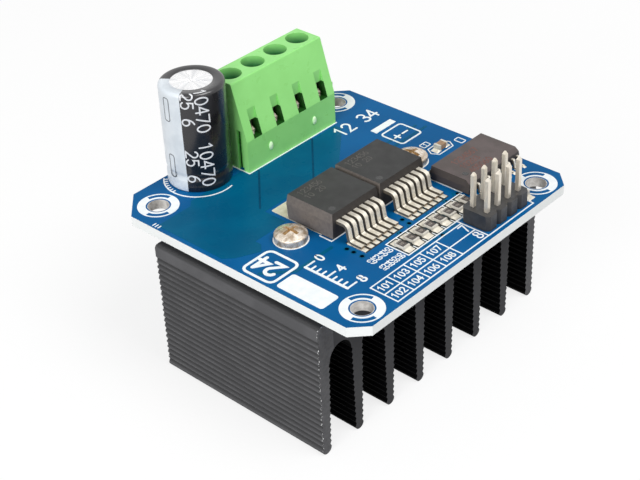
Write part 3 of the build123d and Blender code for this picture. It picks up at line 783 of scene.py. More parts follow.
    # Fine white print on the sleeve.
    SLEEVE_INK = Finish("White sleeve print", "#e9ebee", "#dcdfe4", 0.8, 0.15, 0.004, 0.45)
    # Thin dark outlines on the stripe.
    DARK_INK = Finish("Dark grey sleeve print", "#5c6066", "#4d5157", 0.8, 0.15, 0.004, 0.5)
    # Moulded butyl rubber.
    RUBBER = Finish("Moulded butyl rubber", "#26262a", "#1f1f22", 1.5, 0.15, 0.01, 0.75, specular=0.3)
    # Glass-filled black header plastic.
    HEADER = Finish("Black glass-filled header plastic", "#353537", "#2b2b2d", 1.2, 0.12, 0.01, 0.4)
    # Square wire with bright tin over nickel.
    PIN = Finish("Bright tinned square wire", "#f3ecdf", "#e9e0d0", 3.0, 0.6, 0.0006, 0.33,
                 roughness_spread=0.02, metallic=0.62)
    # Studio floor: matt paper, grey to the light that it returns to the module.
    PAPER = Finish("Matt studio paper", "#bdbdbd", "#b9b9b9", 40.0, 1.5, 0.02, 0.9, specular=0.1)


@dataclass
class Palette:
    """Makes each finish once.

    Attributes:
        made: Material of each finish that is made.
    """

    made: dict[Finish, bpy.types.Material] = field(default_factory=dict)

    def get(self, finish: Finish | Finishes) -> bpy.types.Material:
        """Material of a finish.

        Args:
            finish: The finish or its entry in the list.

        Returns:
            The one material that is shared by all pieces with that finish.
        """
        plain = finish.value if isinstance(finish, Finishes) else finish
        if plain not in self.made:
            self.made[plain] = plain.build()
        return self.made[plain]

    def dress(self, nodes: Iterable[str], finish: Finish | Finishes) -> None:
        """Give CAD nodes a finish.

        Args:
            nodes: Names of the CAD nodes.
            finish: The finish or its entry in the list.
        """
        for name in nodes:
            for slot in bpy.data.objects[name].material_slots:
                slot.material = self.get(finish)
            log.info("dressed %s in %s", name, self.get(finish).name)


# Mesh helpers


def new_piece(
    name: str,
    mesh: BMesh,
    materials: Sequence[bpy.types.Material],
    smooth: bool = False,
    body: str = "module",
) -> bpy.types.Object:
    """Turn a built mesh into a piece that rides on a body.

    Args:
        name: Name of the piece.
        mesh: Mesh in metres, in the row frame.
        materials: Materials in the order of the faces' material numbers.
        smooth: Whether the faces are shaded smooth.
        body: CAD body that carries the piece.

    Returns:
        The object.
    """
    bmesh.ops.recalc_face_normals(mesh, faces=mesh.faces)
    for face in mesh.faces:
        face.smooth = smooth
    data = bpy.data.meshes.new(name)
    mesh.to_mesh(data)
    mesh.free()
    for material in materials:
        data.materials.append(material)
    piece = bpy.data.objects.new(name, data)
    bpy.context.scene.collection.objects.link(piece)
    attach(piece, body)
    log.info("built %s with %d faces", name, len(data.polygons))
    return piece


def centre_of(node: str) -> Point:
    """Middle of a CAD node in the row frame, seen from above."""
    low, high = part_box(node)
    return (low.x + high.x) / 2 / MM, (low.y + high.y) / 2 / MM


def grown(low: Vector, high: Vector, margins: Margins) -> Margins:
    """Left, low, right and high side of a box with a margin at each side, in that order."""
    left, front, right, back = margins
    return low.x - left, low.y - front, high.x + right, high.y + back


def arc(
    x: float,
    y: float,
    radius: float | Point,
    start: float,
    end: float,
    steps: int = 12,
) -> list[Point]:
    """Points along a circle or ellipse.

    Args:
        x: Centre.
        y: Centre.
        radius: Radius, or its size along x and y.
        start: First angle in degrees.
        end: Last angle in degrees.
        steps: Number of stretches.

    Returns:
        The points, with both ends.
    """
    rx, ry = radius if isinstance(radius, tuple) else (radius, radius)
    angles = [math.radians(start + (end - start) * i / steps) for i in range(steps + 1)]
    return [(x + rx * math.cos(a), y + ry * math.sin(a)) for a in angles]


def rounded_box(left: float, low: float, right: float, high: float, radius: float) -> list[Point]:
    """Closed outline of a box with round corners.

    Args:
        left: Left side.
        low: Low side.
        right: Right side.
        high: High side.
        radius: Radius of the corners.

    Returns:
        The points, from the upper right corner against the clock.
    """
    corners = ((right, high, 0), (left, high, 90), (left, low, 180), (right, low, 270))
    outline: list[Point] = []
    for x, y, start in corners:
        cx = x - math.copysign(radius, x - (left + right) / 2)
        cy = y - math.copysign(radius, y - (low + high) / 2)
        outline += arc(cx, cy, radius, start, start + 90, CORNER_STRETCHES)
    return outline


def resample(path: Path, step: float) -> list[Point]:
    """Divide long stretches of a path.

    Args:
        path: Points of the path.
        step: Longest stretch that is kept whole.

    Returns:
        The path with added points.
    """
    points = [path[0]]
    for (ax, ay), (bx, by) in zip(path, path[1:]):
        count = max(1, math.ceil(math.hypot(bx - ax, by - ay) / step))
        points += [(ax + (bx - ax) * i / count, ay + (by - ay) * i / count) for i in range(1, count + 1)]
    return points


# From one digit to the next, as a share of their height
DIGIT_ADVANCE = 0.78

# Strokes of the plain digits, on a body that is 0.6 wide and 1 high
DIGITS: dict[str, list[Path]] = {
    "0": [arc(0.3, 0.5, (0.28, 0.5), 90, 450, 20)],
    "1": [[(0.1, 0.78), (0.34, 1.0), (0.34, 0.0)]],
    "2": [arc(0.3, 0.72, (0.27, 0.28), 165, -35) + [(0.02, 0.0), (0.6, 0.0)]],
    "3": [arc(0.29, 0.75, (0.25, 0.25), 150, -90), arc(0.29, 0.25, (0.29, 0.25), 90, -150)],
    "4": [[(0.45, 0.0), (0.45, 0.94)], [(0.45, 1.0), (0.0, 0.3), (0.62, 0.3)]],
    "5": [[(0.56, 1.0), (0.1, 1.0), (0.06, 0.56)] + arc(0.28, 0.33, (0.3, 0.33), 130, -150)],
    "6": [arc(0.3, 0.3, (0.28, 0.3), 90, 450, 16), arc(0.62, 0.3, (0.6, 0.7), 180, 105, 8)],
    "7": [[(0.0, 1.0), (0.6, 1.0), (0.22, 0.0)]],
    "8": [arc(0.3, 0.76, (0.23, 0.24), 90, 450, 16), arc(0.3, 0.26, (0.28, 0.26), 90, 450, 16)],
    "9": [arc(0.3, 0.7, (0.28, 0.3), 90, 450, 16), arc(-0.02, 0.7, (0.6, 0.7), 0, -75, 8)],
    "+": [[(0.05, 0.5), (0.55, 0.5)], [(0.3, 0.25), (0.3, 0.75)]],
    "-": [[(0.05, 0.5), (0.55, 0.5)]],
}


@dataclass
class Print:
    """Ink laid on a surface as thin raised strokes.

    Attributes:
        place: Turns flat x, y and height in millimetres into a point in metres.
        thickness: Height of the ink.
        sink: Depth by which the ink's foot lies in the surface.
        mesh: Mesh that gets the strokes.
        strokes: Number of strokes so far.
    """

    place: Callable[[float, float, float], Vector]
    thickness: float = 0.05
    sink: float = 0.01
    mesh: BMesh = field(default_factory=bmesh.new)
    strokes: int = 0

    def top(self) -> float:
        """Height of the next stroke, a hair apart from its neighbours so that no two faces coincide."""
        self.strokes += 1
        return self.thickness + STROKE_STEP * (self.strokes % STROKE_LEVELS)

    def fill(self, outline: Path) -> None:
        """Lay a filled shape.

        Args:
            outline: Its corners.
        """
        high = self.top()
        upper = [self.mesh.verts.new(self.place(x, y, high)) for x, y in outline]
        lower = [self.mesh.verts.new(self.place(x, y, -self.sink)) for x, y in outline]
        self.mesh.faces.new(upper)
        self.mesh.faces.new(lower[::-1])
        for i in range(len(outline)):
            j = (i + 1) % len(outline)
            self.mesh.faces.new((lower[i], lower[j], upper[j], upper[i]))

    def band(self, left: Path, right: Path, closed: bool) -> None:
        """Lay a strip between two paths with the same number of points.

        Args:
            left: One side.
            right: Other side.
            closed: Whether the strip runs round to its start.
        """
        high = self.top()
        rows = []
        for (ax, ay), (bx, by) in zip(left, right):
            corners = ((ax, ay, high), (bx, by, high), (bx, by, -self.sink), (ax, ay, -self.sink))
            rows.append([self.mesh.verts.new(self.place(*corner)) for corner in corners])
        pairs = list(zip(rows, rows[1:])) + ([(rows[-1], rows[0])] if closed else [])
        for a, b in pairs:
            for i in range(4):
                j = (i + 1) % 4
                self.mesh.faces.new((a[i], a[j], b[j], b[i]))
        if not closed:
            self.mesh.faces.new(rows[0])
            self.mesh.faces.new(rows[-1][::-1])

    def stroke(self, path: Path, width: float, closed: bool = False) -> None:
        """Lay a line of one width with round ends.

        Args:
            path: Middle of the line.
            width: Width of the line.
            closed: Whether the line runs round to its start, which isn't repeated.
        """
        count = len(path)
        stations: list[Station] = []
        for i, (x, y) in enumerate(path):
            before = path[i - 1] if i or closed else None
            after = path[(i + 1) % count] if i < count - 1 or closed else None
            first = Vector((x - before[0], y - before[1])).normalized() if before else None
            second = Vector((after[0] - x, after[1] - y)).normalized() if after else None
            ahead = ((first or second) + (second or first)).normalized()
            reach = 1 / max(CORNER_LIMIT, ahead.dot(second or first))
            stations.append((Vector((x, y)), ahead, width / 2 * reach))
        if not closed:
            stations = self.round_ends(stations, width / 2)
        left = [tuple(p + Vector((-d.y, d.x)) * h) for p, d, h in stations]
        right = [tuple(p - Vector((-d.y, d.x)) * h) for p, d, h in stations]
        self.band(left, right, closed)

    @staticmethod
    def round_ends(stations: list[Station], half: float) -> list[Station]:
        """Add a half circle of stations at both ends of a line.

        Args:
            stations: Place, direction and half width at each point of the line.
            half: Radius of the half circles.

        Returns:
            The stations with those of both ends.
        """
        first, last = stations[0], stations[-1]
        turns = [math.radians(a) for a in END_ANGLES]
        head = [(first[0] - first[1] * half * math.sin(a), first[1], half * math.cos(a)) for a in turns]
        tail = [(last[0] + last[1] * half * math.sin(a), last[1], half * math.cos(a)) for a in turns]
        return head[::-1] + stations + tail

    def ring(
        self,
        x: float,
        y: float,
        outer: float,
        inner: float,
        start: float = 0.0,
        end: float = 360.0,
    ) -> None:
        """Lay a ring, or the part of it between two angles.

        Args:
            x: Centre along X.
            y: Centre along Y.
            outer: Outer radius.
            inner: Inner radius.
            start: First angle in degrees.
            end: Last angle in degrees.
        """
        closed = end - start >= 360
        steps = max(RING_STRETCHES, round((end - start) / RING_STEP))
        sides = [arc(x, y, radius, start, end, steps) for radius in (outer, inner)]
        if closed:
            sides = [side[:-1] for side in sides]
        self.band(sides[0], sides[1], closed)

    def text(self, words: str, x: float, y: float, height: float, width: float, step: float = 9.0) -> None:
        """Lay plain digits from left to right.

        Args:
            words: Digits and spaces.
            x: Left edge of the first digit.
            y: Foot of the digits.
            height: Height of the digits.
            width: Width of the strokes.
            step: Longest stretch of a stroke that is kept whole.
        """
        for index, letter in enumerate(words):
            for path in DIGITS.get(letter, []):
                shift = x + index * height * DIGIT_ADVANCE
                moved = [(shift + u * height, y + v * height) for u, v in path]
                self.stroke(resample(moved, step), width)

    def text_up(self, words: str, x: float, y: float, height: float, width: float) -> None:
        """Lay plain digits that read upwards.

        Args:
            words: Digits and spaces.
            x: Foot of the digits, to their right.
            y: Start of the first digit.
            height: Height of the digits.
            width: Width of the strokes.
        """
        for index, letter in enumerate(words):
            for path in DIGITS.get(letter, []):
                shift = index * height * DIGIT_ADVANCE
                self.stroke([(x - v * height, y + shift + u * height) for u, v in path], width)


# The board and what is printed, plated and soldered on it


@dataclass
class BoardPlan:
    """Place of the board in the frame, read from its CAD node.

    Plans on the board are measured in millimetres from its middle, with height above its top.

    Attributes:
        middle: Middle of the board's top, in metres.
    """

    middle: Vector = field(default_factory=Vector)

    def __post_init__(self) -> None:
        """Read the board's box."""
        low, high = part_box("circuit_board")
        self.middle = Vector(((low.x + high.x) / 2, (low.y + high.y) / 2, high.z))

    def at(self, x: float, y: float, z: float = 0.0) -> Vector:
        """Point in metres of a place on the board."""
        return self.middle + Vector((x, y, z)) * MM

    def box(self, node: str) -> tuple[Vector, Vector]:
        """Box of a CAD node in board millimetres."""
        low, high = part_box(node)
        return (low - self.middle) / MM, (high - self.middle) / MM

    def middle_of(self, node: str) -> Point:
        """Middle of a CAD node in board millimetres, seen from above."""
        low, high = self.box(node)
        return (low.x + high.x) / 2, (low.y + high.y) / 2


@dataclass
class Copper:
    """Copper foil under the mask: wide areas and thin tracks, with darker mask in gaps and painted shade
    between pads.

    Attributes:
        foil: Height of the foil.
        gap_rise: How much higher the mask in a gap is, and stain_rise the mask with painted shade.
        output: Outline of the wide area, with its corners cut at 45 degrees.
        supply: Outline of the area beside it.
        gap_lines: Middle lines of the gaps between neighbouring areas.
        resistor_track: Width of the tracks at the chip resistors.
        front_run: Distances before a resistor of its front track's start, bend and end.
        front_shift: From the bend to the end along X.
        front_fan: How much further out each front track bends than the one before.
        back_run: The same distances behind a resistor, with back_shift and back_fan.
        long_tracks: Middle line and width of each long track.
        driver_stain: Reach of the painted shade beyond a driver's leads.
        resistor_stain: The same beyond the row of resistors.
    """

    plan: BoardPlan
    palette: Palette
    foil: float = 0.03
    gap_rise: float = 0.008
    stain_rise: float = 0.012
    output: Path = (
        (-24.2, 15.6), (-24.2, 2.0), (-22.9, 0.6), (-19.3, -1.2), (-18.0, 0.1), (-18.0, 1.3), (-11.4, 1.3),
        (-11.4, 5.7), (-0.6, 5.7), (8.7, 14.5), (8.7, 16.6), (-16.3, 16.6), (-17.4, 15.6),
    )
    supply: Path = ((-0.4, 5.7), (8.9, 14.5), (14.4, 14.5), (14.4, 13.0), (5.4, 5.7))
    gap_lines: tuple[Path, ...] = (
        ((-0.5, 5.7), (8.8, 14.5), (8.8, 16.6)),
        ((-11.2, 6.9), (-3.6, 14.5), (-3.6, 16.6)),
    )
    gap_width: float = 0.3
    resistor_track: float = 0.28
    front_run: Triple = (0.8, 1.4, 1.55)
    front_shift: float = 0.8
    front_fan: float = 0.04
    back_run: Triple = (0.9, 1.3, 1.926)
    back_shift: float = 0.5
    back_fan: float = 0.015
    long_tracks: tuple[tuple[Path, float], ...] = (
        (((11.6, -6.6), (11.6, 0.8), (13.5, 2.7), (23.4, 2.7)), 0.5),
        (((22.6, 4.2), (14.0, 4.2), (10.2, 0.9)), 0.5),
        (((-23.4, -4.8), (-19.8, -8.4), (-12.2, -8.4)), 0.6),
    )
    driver_stain: Margins = (0.1, 1.0, 0.1, -2.55)
    resistor_stain: Margins = (0.25, 1.1, 0.35, 1.05)
    stain_corner: float = 0.2

    def tracks(self) -> list[tuple[Path, float]]:
        """Middle line and width of each track."""
        runs: list[tuple[Path, float]] = []
        for index, name in enumerate(RESISTORS):
            low, high = self.plan.box(name)
            x = (low.x + high.x) / 2
            start, bend, end = [low.y - distance for distance in self.front_run]
            bend -= self.front_fan * index
            runs.append(([(x, start), (x, bend), (x + self.front_shift, end)], self.resistor_track))
            start, bend, end = [high.y + distance for distance in self.back_run]
            end += self.back_fan * index
            runs.append(([(x, start), (x, bend), (x + self.back_shift, end)], self.resistor_track))
        return runs + list(self.long_tracks)

    def stains(self) -> list[Path]:
        """Outlines of the painted shade between the pads of the drivers and round the chip resistors."""
        areas = [grown(*self.plan.box(f"{side}_driver_leads"), self.driver_stain) for side in SIDES]
        low, high = self.plan.box(RESISTORS[0])[0], self.plan.box(RESISTORS[-1])[1]
        areas.append(grown(low, high, self.resistor_stain))
        return [rounded_box(*area, self.stain_corner) for area in areas]

    def build(self) -> None:
        """Make the stepped mask over all copper, the darker mask in the gaps, and the painted shade round the
        pads.
        """
        foil = Print(self.plan.at, thickness=self.foil)
        for outline in (self.output, self.supply):
            foil.fill(outline)
        for path, width in self.tracks():
            foil.stroke(path, width)
        trench = Print(self.plan.at, thickness=self.foil + self.gap_rise)
        for path in self.gap_lines:
            trench.stroke(path, self.gap_width)
        new_piece("copper_gaps", trench.mesh, [self.palette.get(Finishes.MASK_GAP)])
        # Painted shade: a darker layer of mask between and round the pads of the drivers and resistors
        painted_shade = Print(self.plan.at, thickness=self.foil + self.stain_rise)
        for outline in self.stains():
            painted_shade.fill(outline)
        new_piece("flux_between_pads", painted_shade.mesh, [self.palette.get(Finishes.FLUX)])
        new_piece("copper_under_mask", foil.mesh, [self.palette.get(Finishes.MASK_COPPER)])


@dataclass(frozen=True)
class Label:
    """Plain digits printed on the board, at the place and in the size that Print.text takes."""

    words: str
    x: float
    y: float
    height: float
    width: float


@dataclass
class Legend:
    """White printed legend of the board.

    Attributes:
        line: Width of a common line, and thin of a thin one.
        hole_x: Place of the fixing holes along X, and hole_y along Y.
        closed_rings: Outer and inner radius of the two closed rings round a fixing hole.
        half_ring: The same of the broad ring between them, with the angles of its parts.
        block_line: Width of the terminal block's line, which starts at block_back.
        block_inset: From the housings' front back to the line.
        block_short: How far before the block's right end it stops.
        driver_corner: Corner line at the drivers, and logic_corner at the logic chip.
        header_gap: From the header's base to its line.
        ring_offset: How far the capacitor's ring lies off its middle.
        can_ring: Outer and inner radius of that ring, which ends at can_ring_end.
        edge_room: Least distance of the ring from the board's edge.
        tick_reach: Radii between which the ring's ticks run.
        tick_angles: Start, end and step of the ticks, in degrees from the ring's start.
        screw_ring: How much wider than a screw's head its ring is outside and inside.
        frame_y: Low and high side of the resistors' frame, with ticks of frame_tick.
        number_place: Place of the first plain number at the frame's left end.
        number_step: From one number to the next.
        number_grid: Columns and rows of numbers.
        first_number: The first number, and the step to the next row's.
        table_columns: Places of the pin table's upright lines, with table_rows.
        cell_inset: From a cell's middle back to its number.
        cell_feet: From the two lower lines up to their numbers.
        table_labels: Larger numbers beside the table.
        ceramic_reach: Half the length of a chip capacitor's outline at its tips and shoulders.
        ceramic_half: Half its width.
        small_boxes: Small boxes beside the chip capacitor, with their corner radius.
        panel: Panel to write on, with its corner radius.
        number_frame: Frame round the framed label, with its corner radius.
        scale_place: Far end of the scale's spine.
        scale_every: Millimetres between two long ticks.
        scale_ticks: Length of a short and of a long tick.
        scale_text: Distance from the spine, drop, height and stroke of a number.
        sign_frame: Frame round the plus and minus, with its corner radius.
        sign_bar: Bar to write on.
        edge_ticks: Left and right end, first place and step of the ticks at the edge.
    """

    plan: BoardPlan
    palette: Palette
    line: float = 0.2
    thin: float = 0.16
    hole_x: float = 20.35
    hole_y: Point = (-21.35, 19.6)
    closed_rings: tuple[Point, ...] = ((3.24, 3.02), (2.3, 1.95))
    half_ring: Point = (3.1, 2.2)
    half_ring_parts: tuple[Point, ...] = ((82, 188), (262, 368))
    block_line: float = 0.24
    block_inset: float = 0.18
    block_short: float = 0.6
    block_back: float = 24.6
    driver_corner: Path = ((-11.0, -5.1), (-11.0, -7.42), (9.9, -7.42))
    logic_corner: Path = ((11.2, -8.3), (11.2, -14.1), (11.6, -14.1))
    header_gap: float = 0.45
    ring_offset: float = 0.45
    can_ring: Point = (5.85, 5.62)
    can_ring_end: float = 284.0
    edge_room: float = 0.2
    tick_reach: Point = (5.2, 5.7)
    tick_angles: tuple[int, int, int] = (3, 52, 7)
    tick_width: float = 0.22
    screw_ring: Point = (0.15, -0.1)
    frame_y: Point = (-18.35, -14.1)
    frame_tick: float = 0.9
    number_place: Point = (-10.65, -15.9)
    number_step: Point = (1.18, -2.27)
    number_grid: tuple[int, int] = (4, 2)
    number_text: Point = (0.95, 0.15)
    first_number: tuple[int, int] = (62, 21)
    first_pin: int = 101
    table_columns: tuple[float, ...] = (-16.15, -12.65, -9.0, -5.4, -1.6)
    table_rows: Triple = (-19.2, -21.75, -24.2)
    cell_inset: float = 1.3
    cell_feet: Point = (0.72, 0.65)
    cell_text: Point = (1.15, 0.2)
    table_labels: tuple[Label, ...] = (
        Label("7", x=3.1, y=-21.25, height=1.65, width=0.24),
        Label("8", x=3.1, y=-23.75, height=1.65, width=0.24),
        Label("1", x=16.2, y=-21.1, height=1.2, width=0.2),
    )
    ceramic_reach: Point = (2.4, 1.7)
    ceramic_half: float = 1.2
    ceramic_line: float = 0.18
    small_boxes: tuple[tuple[float, ...], ...] = (
        (17.9, -1.5, 19.5, -0.4, 0.2),
        (22.8, -5.2, 23.9, -3.6, 0.2),
    )
    small_label: Label = Label("1", x=18.5, y=-1.3, height=0.7, width=0.12)
    panel: tuple[float, ...] = (-24.1, -17.3, -20.4, -8.6, 0.5)
    number_frame: tuple[float, ...] = (-24.2, -7.8, -18.2, -1.9, 1.0)
    bold: float = 0.45
    framed_label: Label = Label("24", x=-19.9, y=-6.6, height=3.0, width=0.6)
    scale_place: Point = (-18.2, -8.8)
    scale_length: int = 8
    scale_every: int = 4
    scale_ticks: Point = (1.1, 1.9)
    scale_line: float = 0.3
    scale_text: Margins = (2.6, 0.75, 1.5, 0.3)
    sign_frame: tuple[float, ...] = (16.7, 2.0, 21.6, 6.6, 0.6)
    sign_labels: tuple[Label, Label] = (
        Label("12 34", x=12.6, y=11.2, height=2.5, width=0.34),
        Label("+-", x=17.3, y=3.0, height=2.4, width=0.34),
    )
    sign_bar: Path = ((16.7, 7.5), (21.6, 7.5), (21.6, 8.8), (16.7, 8.8))
    edge_ticks: Margins = (-24.6, -24.0, 15.1, 0.55)
    edge_tick_count: int = 3
    ink: Print | None = None

    def write(self, label: Label) -> None:
        """Print a label that reads from left to right."""
        self.ink.text(label.words, label.x, label.y, label.height, label.width)

    def fixing_holes(self) -> list[Point]:
        """Centres of the four fixing holes of the board."""
        return [(side * self.hole_x, y) for y in self.hole_y for side in (-1, 1)]

    def hole_rings(self) -> None:
        """Two closed rings round each fixing hole, with a broad one in two parts between them."""
        for x, y in self.fixing_holes():
            for outer, inner in self.closed_rings:
                self.ink.ring(x, y, outer, inner)
            for start, end in self.half_ring_parts:
                self.ink.ring(x, y, *self.half_ring, start, end)

    def component_lines(self) -> None:
        """Lines at the terminal block, the drivers and the logic chip, and round the header."""
        left = self.plan.box("terminal_housing_left")[0]
        right = self.plan.box("terminal_housing_right")[1]
        x, y = left.x - self.block_line / 2, left.y + self.block_inset
        self.ink.stroke([(x, self.block_back), (x, y), (right.x - self.block_short, y)], self.block_line)
        self.ink.stroke(self.driver_corner, self.line)
        self.ink.stroke(self.logic_corner, self.line)
        gap = self.header_gap
        left, low, right, high = grown(*self.plan.box("header_base"), (gap, gap, gap, gap))
        self.ink.stroke([(left, low), (right, low), (right, high), (left, high)], self.line, closed=True)

    def capacitor_ring(self) -> None:
        """Part of a ring round the capacitor that stays on the board, with ticks near its start."""
        x, y = [middle - self.ring_offset for middle in self.plan.middle_of("capacitor_sleeve")]
        outer, inner = self.can_ring
        room = self.plan.box("circuit_board")[1].y - self.edge_room - y
        start = 180 - int(math.degrees(math.asin(min(1.0, room / outer))))
        self.ink.ring(x, y, outer, inner, start, self.can_ring_end)
        first, last, step = self.tick_angles
        for angle in range(start + first, start + last, step):
            turn = math.radians(angle)
            tick = [(x + reach * math.cos(turn), y + reach * math.sin(turn)) for reach in self.tick_reach]
            self.ink.stroke(tick, self.tick_width)

    def screw_rings(self) -> None:
        """Ring round each of the heat sink's screws."""
        for node in SINK_SCREWS:
            low, high = self.plan.box(node)
            outer, inner = [(high.x - low.x) / 2 + margin for margin in self.screw_ring]
            self.ink.ring(*self.plan.middle_of(node), outer, inner)

    def resistor_frame(self) -> None:
        """Frame round the row of chip resistors, with lines between them and plain numbers beside it."""
        cells = len(RESISTORS)
        first, last = [self.plan.middle_of(name)[0] for name in (RESISTORS[0], RESISTORS[-1])]
        pitch = (last - first) / (cells - 1)
        left = first - pitch / 2
        right = left + cells * pitch
        low, high = self.frame_y
        self.ink.stroke([(left, high), (right, high), (right, low), (left, low)], self.line, closed=True)
        for index in range(1, cells):
            x = left + index * pitch
            self.ink.stroke([(x, high), (x, high - self.frame_tick)], self.thin)
            self.ink.stroke([(x, low), (x, low + self.frame_tick)], self.thin)
        number, row_step = self.first_number
        columns, rows = self.number_grid
        for column in range(columns):
            for row in range(rows):
                x = self.number_place[0] + self.number_step[0] * column
                y = self.number_place[1] + self.number_step[1] * row
                self.ink.text_up(str(number + column + row_step * row), x, y, *self.number_text)

    def pin_table(self) -> None:
        """Table beside the header, with a plain number in each cell."""
        rows, columns = self.table_rows, self.table_columns
        end = self.plan.box("header_base")[0].x - self.header_gap
        for y in rows:
            self.ink.stroke([(columns[0], y), (end, y)], self.line)
        for x in columns:
            self.ink.stroke([(x, rows[0]), (x, rows[-1])], self.line)
        for index, (a, b) in enumerate(zip(columns, columns[1:])):
            left = (a + b) / 2 - self.cell_inset
            for row, foot in enumerate(self.cell_feet):
                number = self.first_pin + len(self.cell_feet) * index + row
                self.ink.text(str(number), left, rows[row + 1] + foot, *self.cell_text)
        for label in self.table_labels:
            self.write(label)

    def chip_capacitors(self) -> None:
        """Six-sided outline round one chip capacitor and small boxes beside it."""
        x, y = self.plan.middle_of(CERAMICS[0])
        tip, shoulder = self.ceramic_reach
        half = self.ceramic_half
        outline = [(x - tip, y), (x - shoulder, y + half), (x + shoulder, y + half), (x + tip, y),
                   (x + shoulder, y - half), (x - shoulder, y - half)]
        self.ink.stroke(outline, self.ceramic_line, closed=True)
        first, second = self.small_boxes
        self.ink.stroke(rounded_box(*first), self.thin, closed=True)
        self.write(self.small_label)
        self.ink.stroke(rounded_box(*second), self.thin, closed=True)

    def write_on_panels(self) -> None:
        """Generic print of the bare corners: a panel to write on, a framed number, a scale and signs."""
        self.ink.fill(rounded_box(*self.panel))
        self.ink.stroke(rounded_box(*self.number_frame), self.bold, closed=True)
        label = self.framed_label
        self.ink.text_up(label.words, label.x, label.y, label.height, label.width)
        self.scale_bar()
        self.polarity()

    def scale_bar(self) -> None:
        """Scale with a tick each millimetre and plain numbers, running towards the header's edge."""
        x, y = self.scale_place
        short, long = self.scale_ticks
        away, drop, height, width = self.scale_text
        self.ink.stroke([(x, y), (x, y - self.scale_length)], self.bold)
        for tick in range(self.scale_length + 1):
            reach = long if tick % self.scale_every == 0 else short
            self.ink.stroke([(x, y - tick), (x + reach, y - tick)], self.scale_line)
        for tick in range(0, self.scale_length + 1, self.scale_every):
            self.ink.text(str(tick), x + away, y - tick - drop, height, width)

    def polarity(self) -> None:
        """Plain numbers, a framed plus and minus, and a bar to write on, behind the drivers."""
        numbers, signs = self.sign_labels
        self.write(numbers)
        self.ink.stroke(rounded_box(*self.sign_frame), self.scale_line, closed=True)
        self.write(signs)
        self.ink.fill(self.sign_bar)

    def side_ticks(self) -> None:
        """Short ticks at the board's left edge."""
        left, right, first, step = self.edge_ticks
        for tick in range(self.edge_tick_count):
            y = first + tick * step
            self.ink.stroke([(left, y), (right, y)], self.line)

    def build(self) -> None:
        """Make the whole legend as one piece."""
        self.ink = Print(self.plan.at)
        for step in (self.hole_rings, self.component_lines, self.capacitor_ring, self.screw_rings,
                     self.resistor_frame, self.pin_table, self.chip_capacitors, self.write_on_panels,
                     self.side_ticks):
            step()
        new_piece("board_legend", self.ink.mesh, [self.palette.get(Finishes.INK)])


@dataclass(frozen=True)
class Crown:
    """Height of a solder patch, which swells round one place.

    Attributes:
        base: Least height.
        rise: Height that the swelling adds.
        middle: Place of the swelling, as a share of the patch.
        width: Width of the swelling, as a share of the patch.
        across: Whether these shares run across the patch, along X, or along it.
    """

    base: float
    rise: float
    middle: float
    width: float
    across: bool = False

    def height(self, u: float, v: float) -> float:
        """Height for a place from 0 to 1 across and along the patch."""
        share = u if self.across else v
        return self.base + self.rise * math.exp(-(((share - self.middle) / self.width) ** 2))

    def mirrored(self) -> Crown:
        """The same crown from the patch's other end."""
        return replace(self, middle=1 - self.middle)


